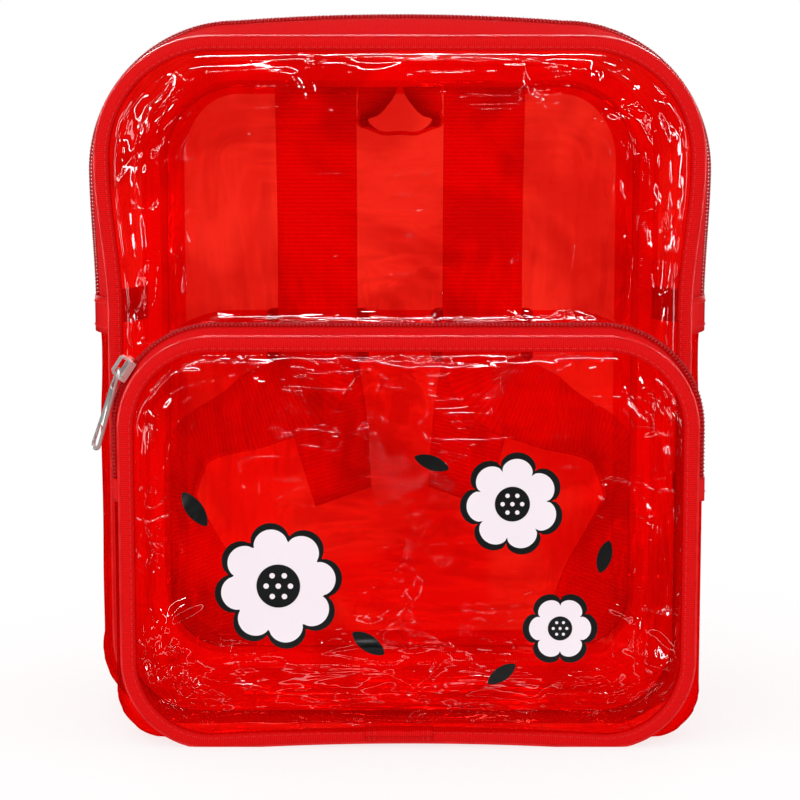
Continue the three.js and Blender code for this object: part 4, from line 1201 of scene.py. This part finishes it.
# shares of the lower strap's rise, stand-off and way across, and its turn in degrees
lower_hang = [
    (0, 0, 0, 0), (0.04, 0.02, 0, 0), (0.1, 0.27, 0.12, 2), (0.21, 0.72, 0.4, 10), (0.36, 1.2, 0.8, 38),
    (0.54, 1.45, 1, 66), (0.7, 1.36, 0.75, 50), (0.82, 0.95, -0.35, 20), (0.91, 0.72, -0.88, 4),
]
for side, hand in ((-1, "left"), (1, "right")):
    x, foot = side * strap_x, side * strap_foot
    hang = [
        (sewn_rear, back_top), (sewn_rear + gap, back_top - back_tape_width),
        (sewn_rear + back_crown + 2.2, crown_foot),
        (mix(sewn_rear, strap_rear - wrap, 0.95), mix(crown_foot, bar_top, 0.43)),
        (mix(sewn_rear, strap_rear - wrap, 1.06), mix(crown_foot, bar_top, 0.78)),
    ]
    upper = [((x, y, z), (1, 0, 0)) for y, z in hang] + bend_round(x, bar_top, True)
    upper.append(((x, strap_rear + wrap, bar_top + 16), (1, 0, 0)))
    lower = []
    for up, out, across, turn in lower_hang:
        turn = math.radians(turn)
        place_x = mix(foot, x, -across) if across < 0 else foot + side * strap_bow * across
        place = (place_x, mix(sewn_rear, strap_rear - wrap, out), mix(5, bar_low, up))
        lower.append((place, (math.cos(turn), side * math.sin(turn), 0)))
    lower.append(((x, strap_rear - wrap - 4 * gap, bar_low), (1, 0, 0)))
    lower += bend_round(x, adjuster_height, False)
    # how far in, how far back, how far below the adjuster, turn in degrees
    for in_by, back_by, below, turn in ((0, 0, bar_pitch, 0), (4.8, 3, 40, -15), (12, 4, 80, -45)):
        turn = math.radians(turn)
        place = (x - side * in_by, strap_rear + wrap + back_by, adjuster_height - below)
        lower.append((place, (math.cos(turn), side * math.sin(turn), 0)))
    shoulder_strap = webbing_piece(f"shoulder_strap_{hand}_webbing", upper, webbing_width)
    lower_strap = webbing_piece(f"lower_strap_{hand}_webbing", lower, webbing_width)
    for piece, node in ((shoulder_strap, f"shoulder_strap_{hand}"), (lower_strap, f"lower_strap_{hand}")):
        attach(piece, "bag")
        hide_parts(node)
    patches = [
        ("top", back_top - 6, 16, 4.2, sewn_rear + webbing_thick / 2),
        ("turned_end", bar_top + 10, 15, 3, strap_rear + wrap + webbing_thick / 2),
    ]
    for place, z, half_width, half_height, y in patches:
        sewn = box_stitch(f"strap_stitches_{hand}_{place}", x, z, half_width, half_height, y)
        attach(sewn, "bag")
    refinish(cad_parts[f"strap_adjuster_{hand}"], moulded, 0.0008)

# Carrying loop
# Narrow webbing with both ends sewn side by side to the top of the back binding, so that it hangs as a loop.
loop_width, loop_x, loop_drop, loop_out = 18, 18.3, 33, 14
# shares of the loop's drop, stand-off and reach to the side, and its turn in degrees
loop_hang = [
    (0, 0, 0.53, 0), (0.28, 0.06, 0.54, 0), (0.48, 0.4, 0.6, 26), (0.66, 0.8, 0.72, 52), (0.84, 1, 0.91, 78),
    (1, 1.05, 0.5, 90),
]
left, right = (
    [
        ((side * loop_x * across, sewn_rear + loop_out * out, back_top - loop_drop * drop),
         (-side * math.cos(math.radians(turn)), math.sin(math.radians(turn)), 0))
        for drop, out, across, turn in loop_hang
    ]
    for side in (-1, 1)
)
_, lowest_y, lowest_z = left[-1][0]
lowest = ((0, lowest_y, lowest_z), (0, 1, 0))
carrying_loop = webbing_piece("carrying_loop_webbing", [*left, lowest, *right[::-1]], loop_width)
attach(carrying_loop, "bag")
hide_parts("carrying_loop")
for side, hand in ((-1, "left"), (1, "right")):
    face = sewn_rear + webbing_thick / 2
    sewn = box_stitch(f"loop_stitches_{hand}", side * 9.7, back_top - 6, 6.5, 4, face)
    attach(sewn, "bag")
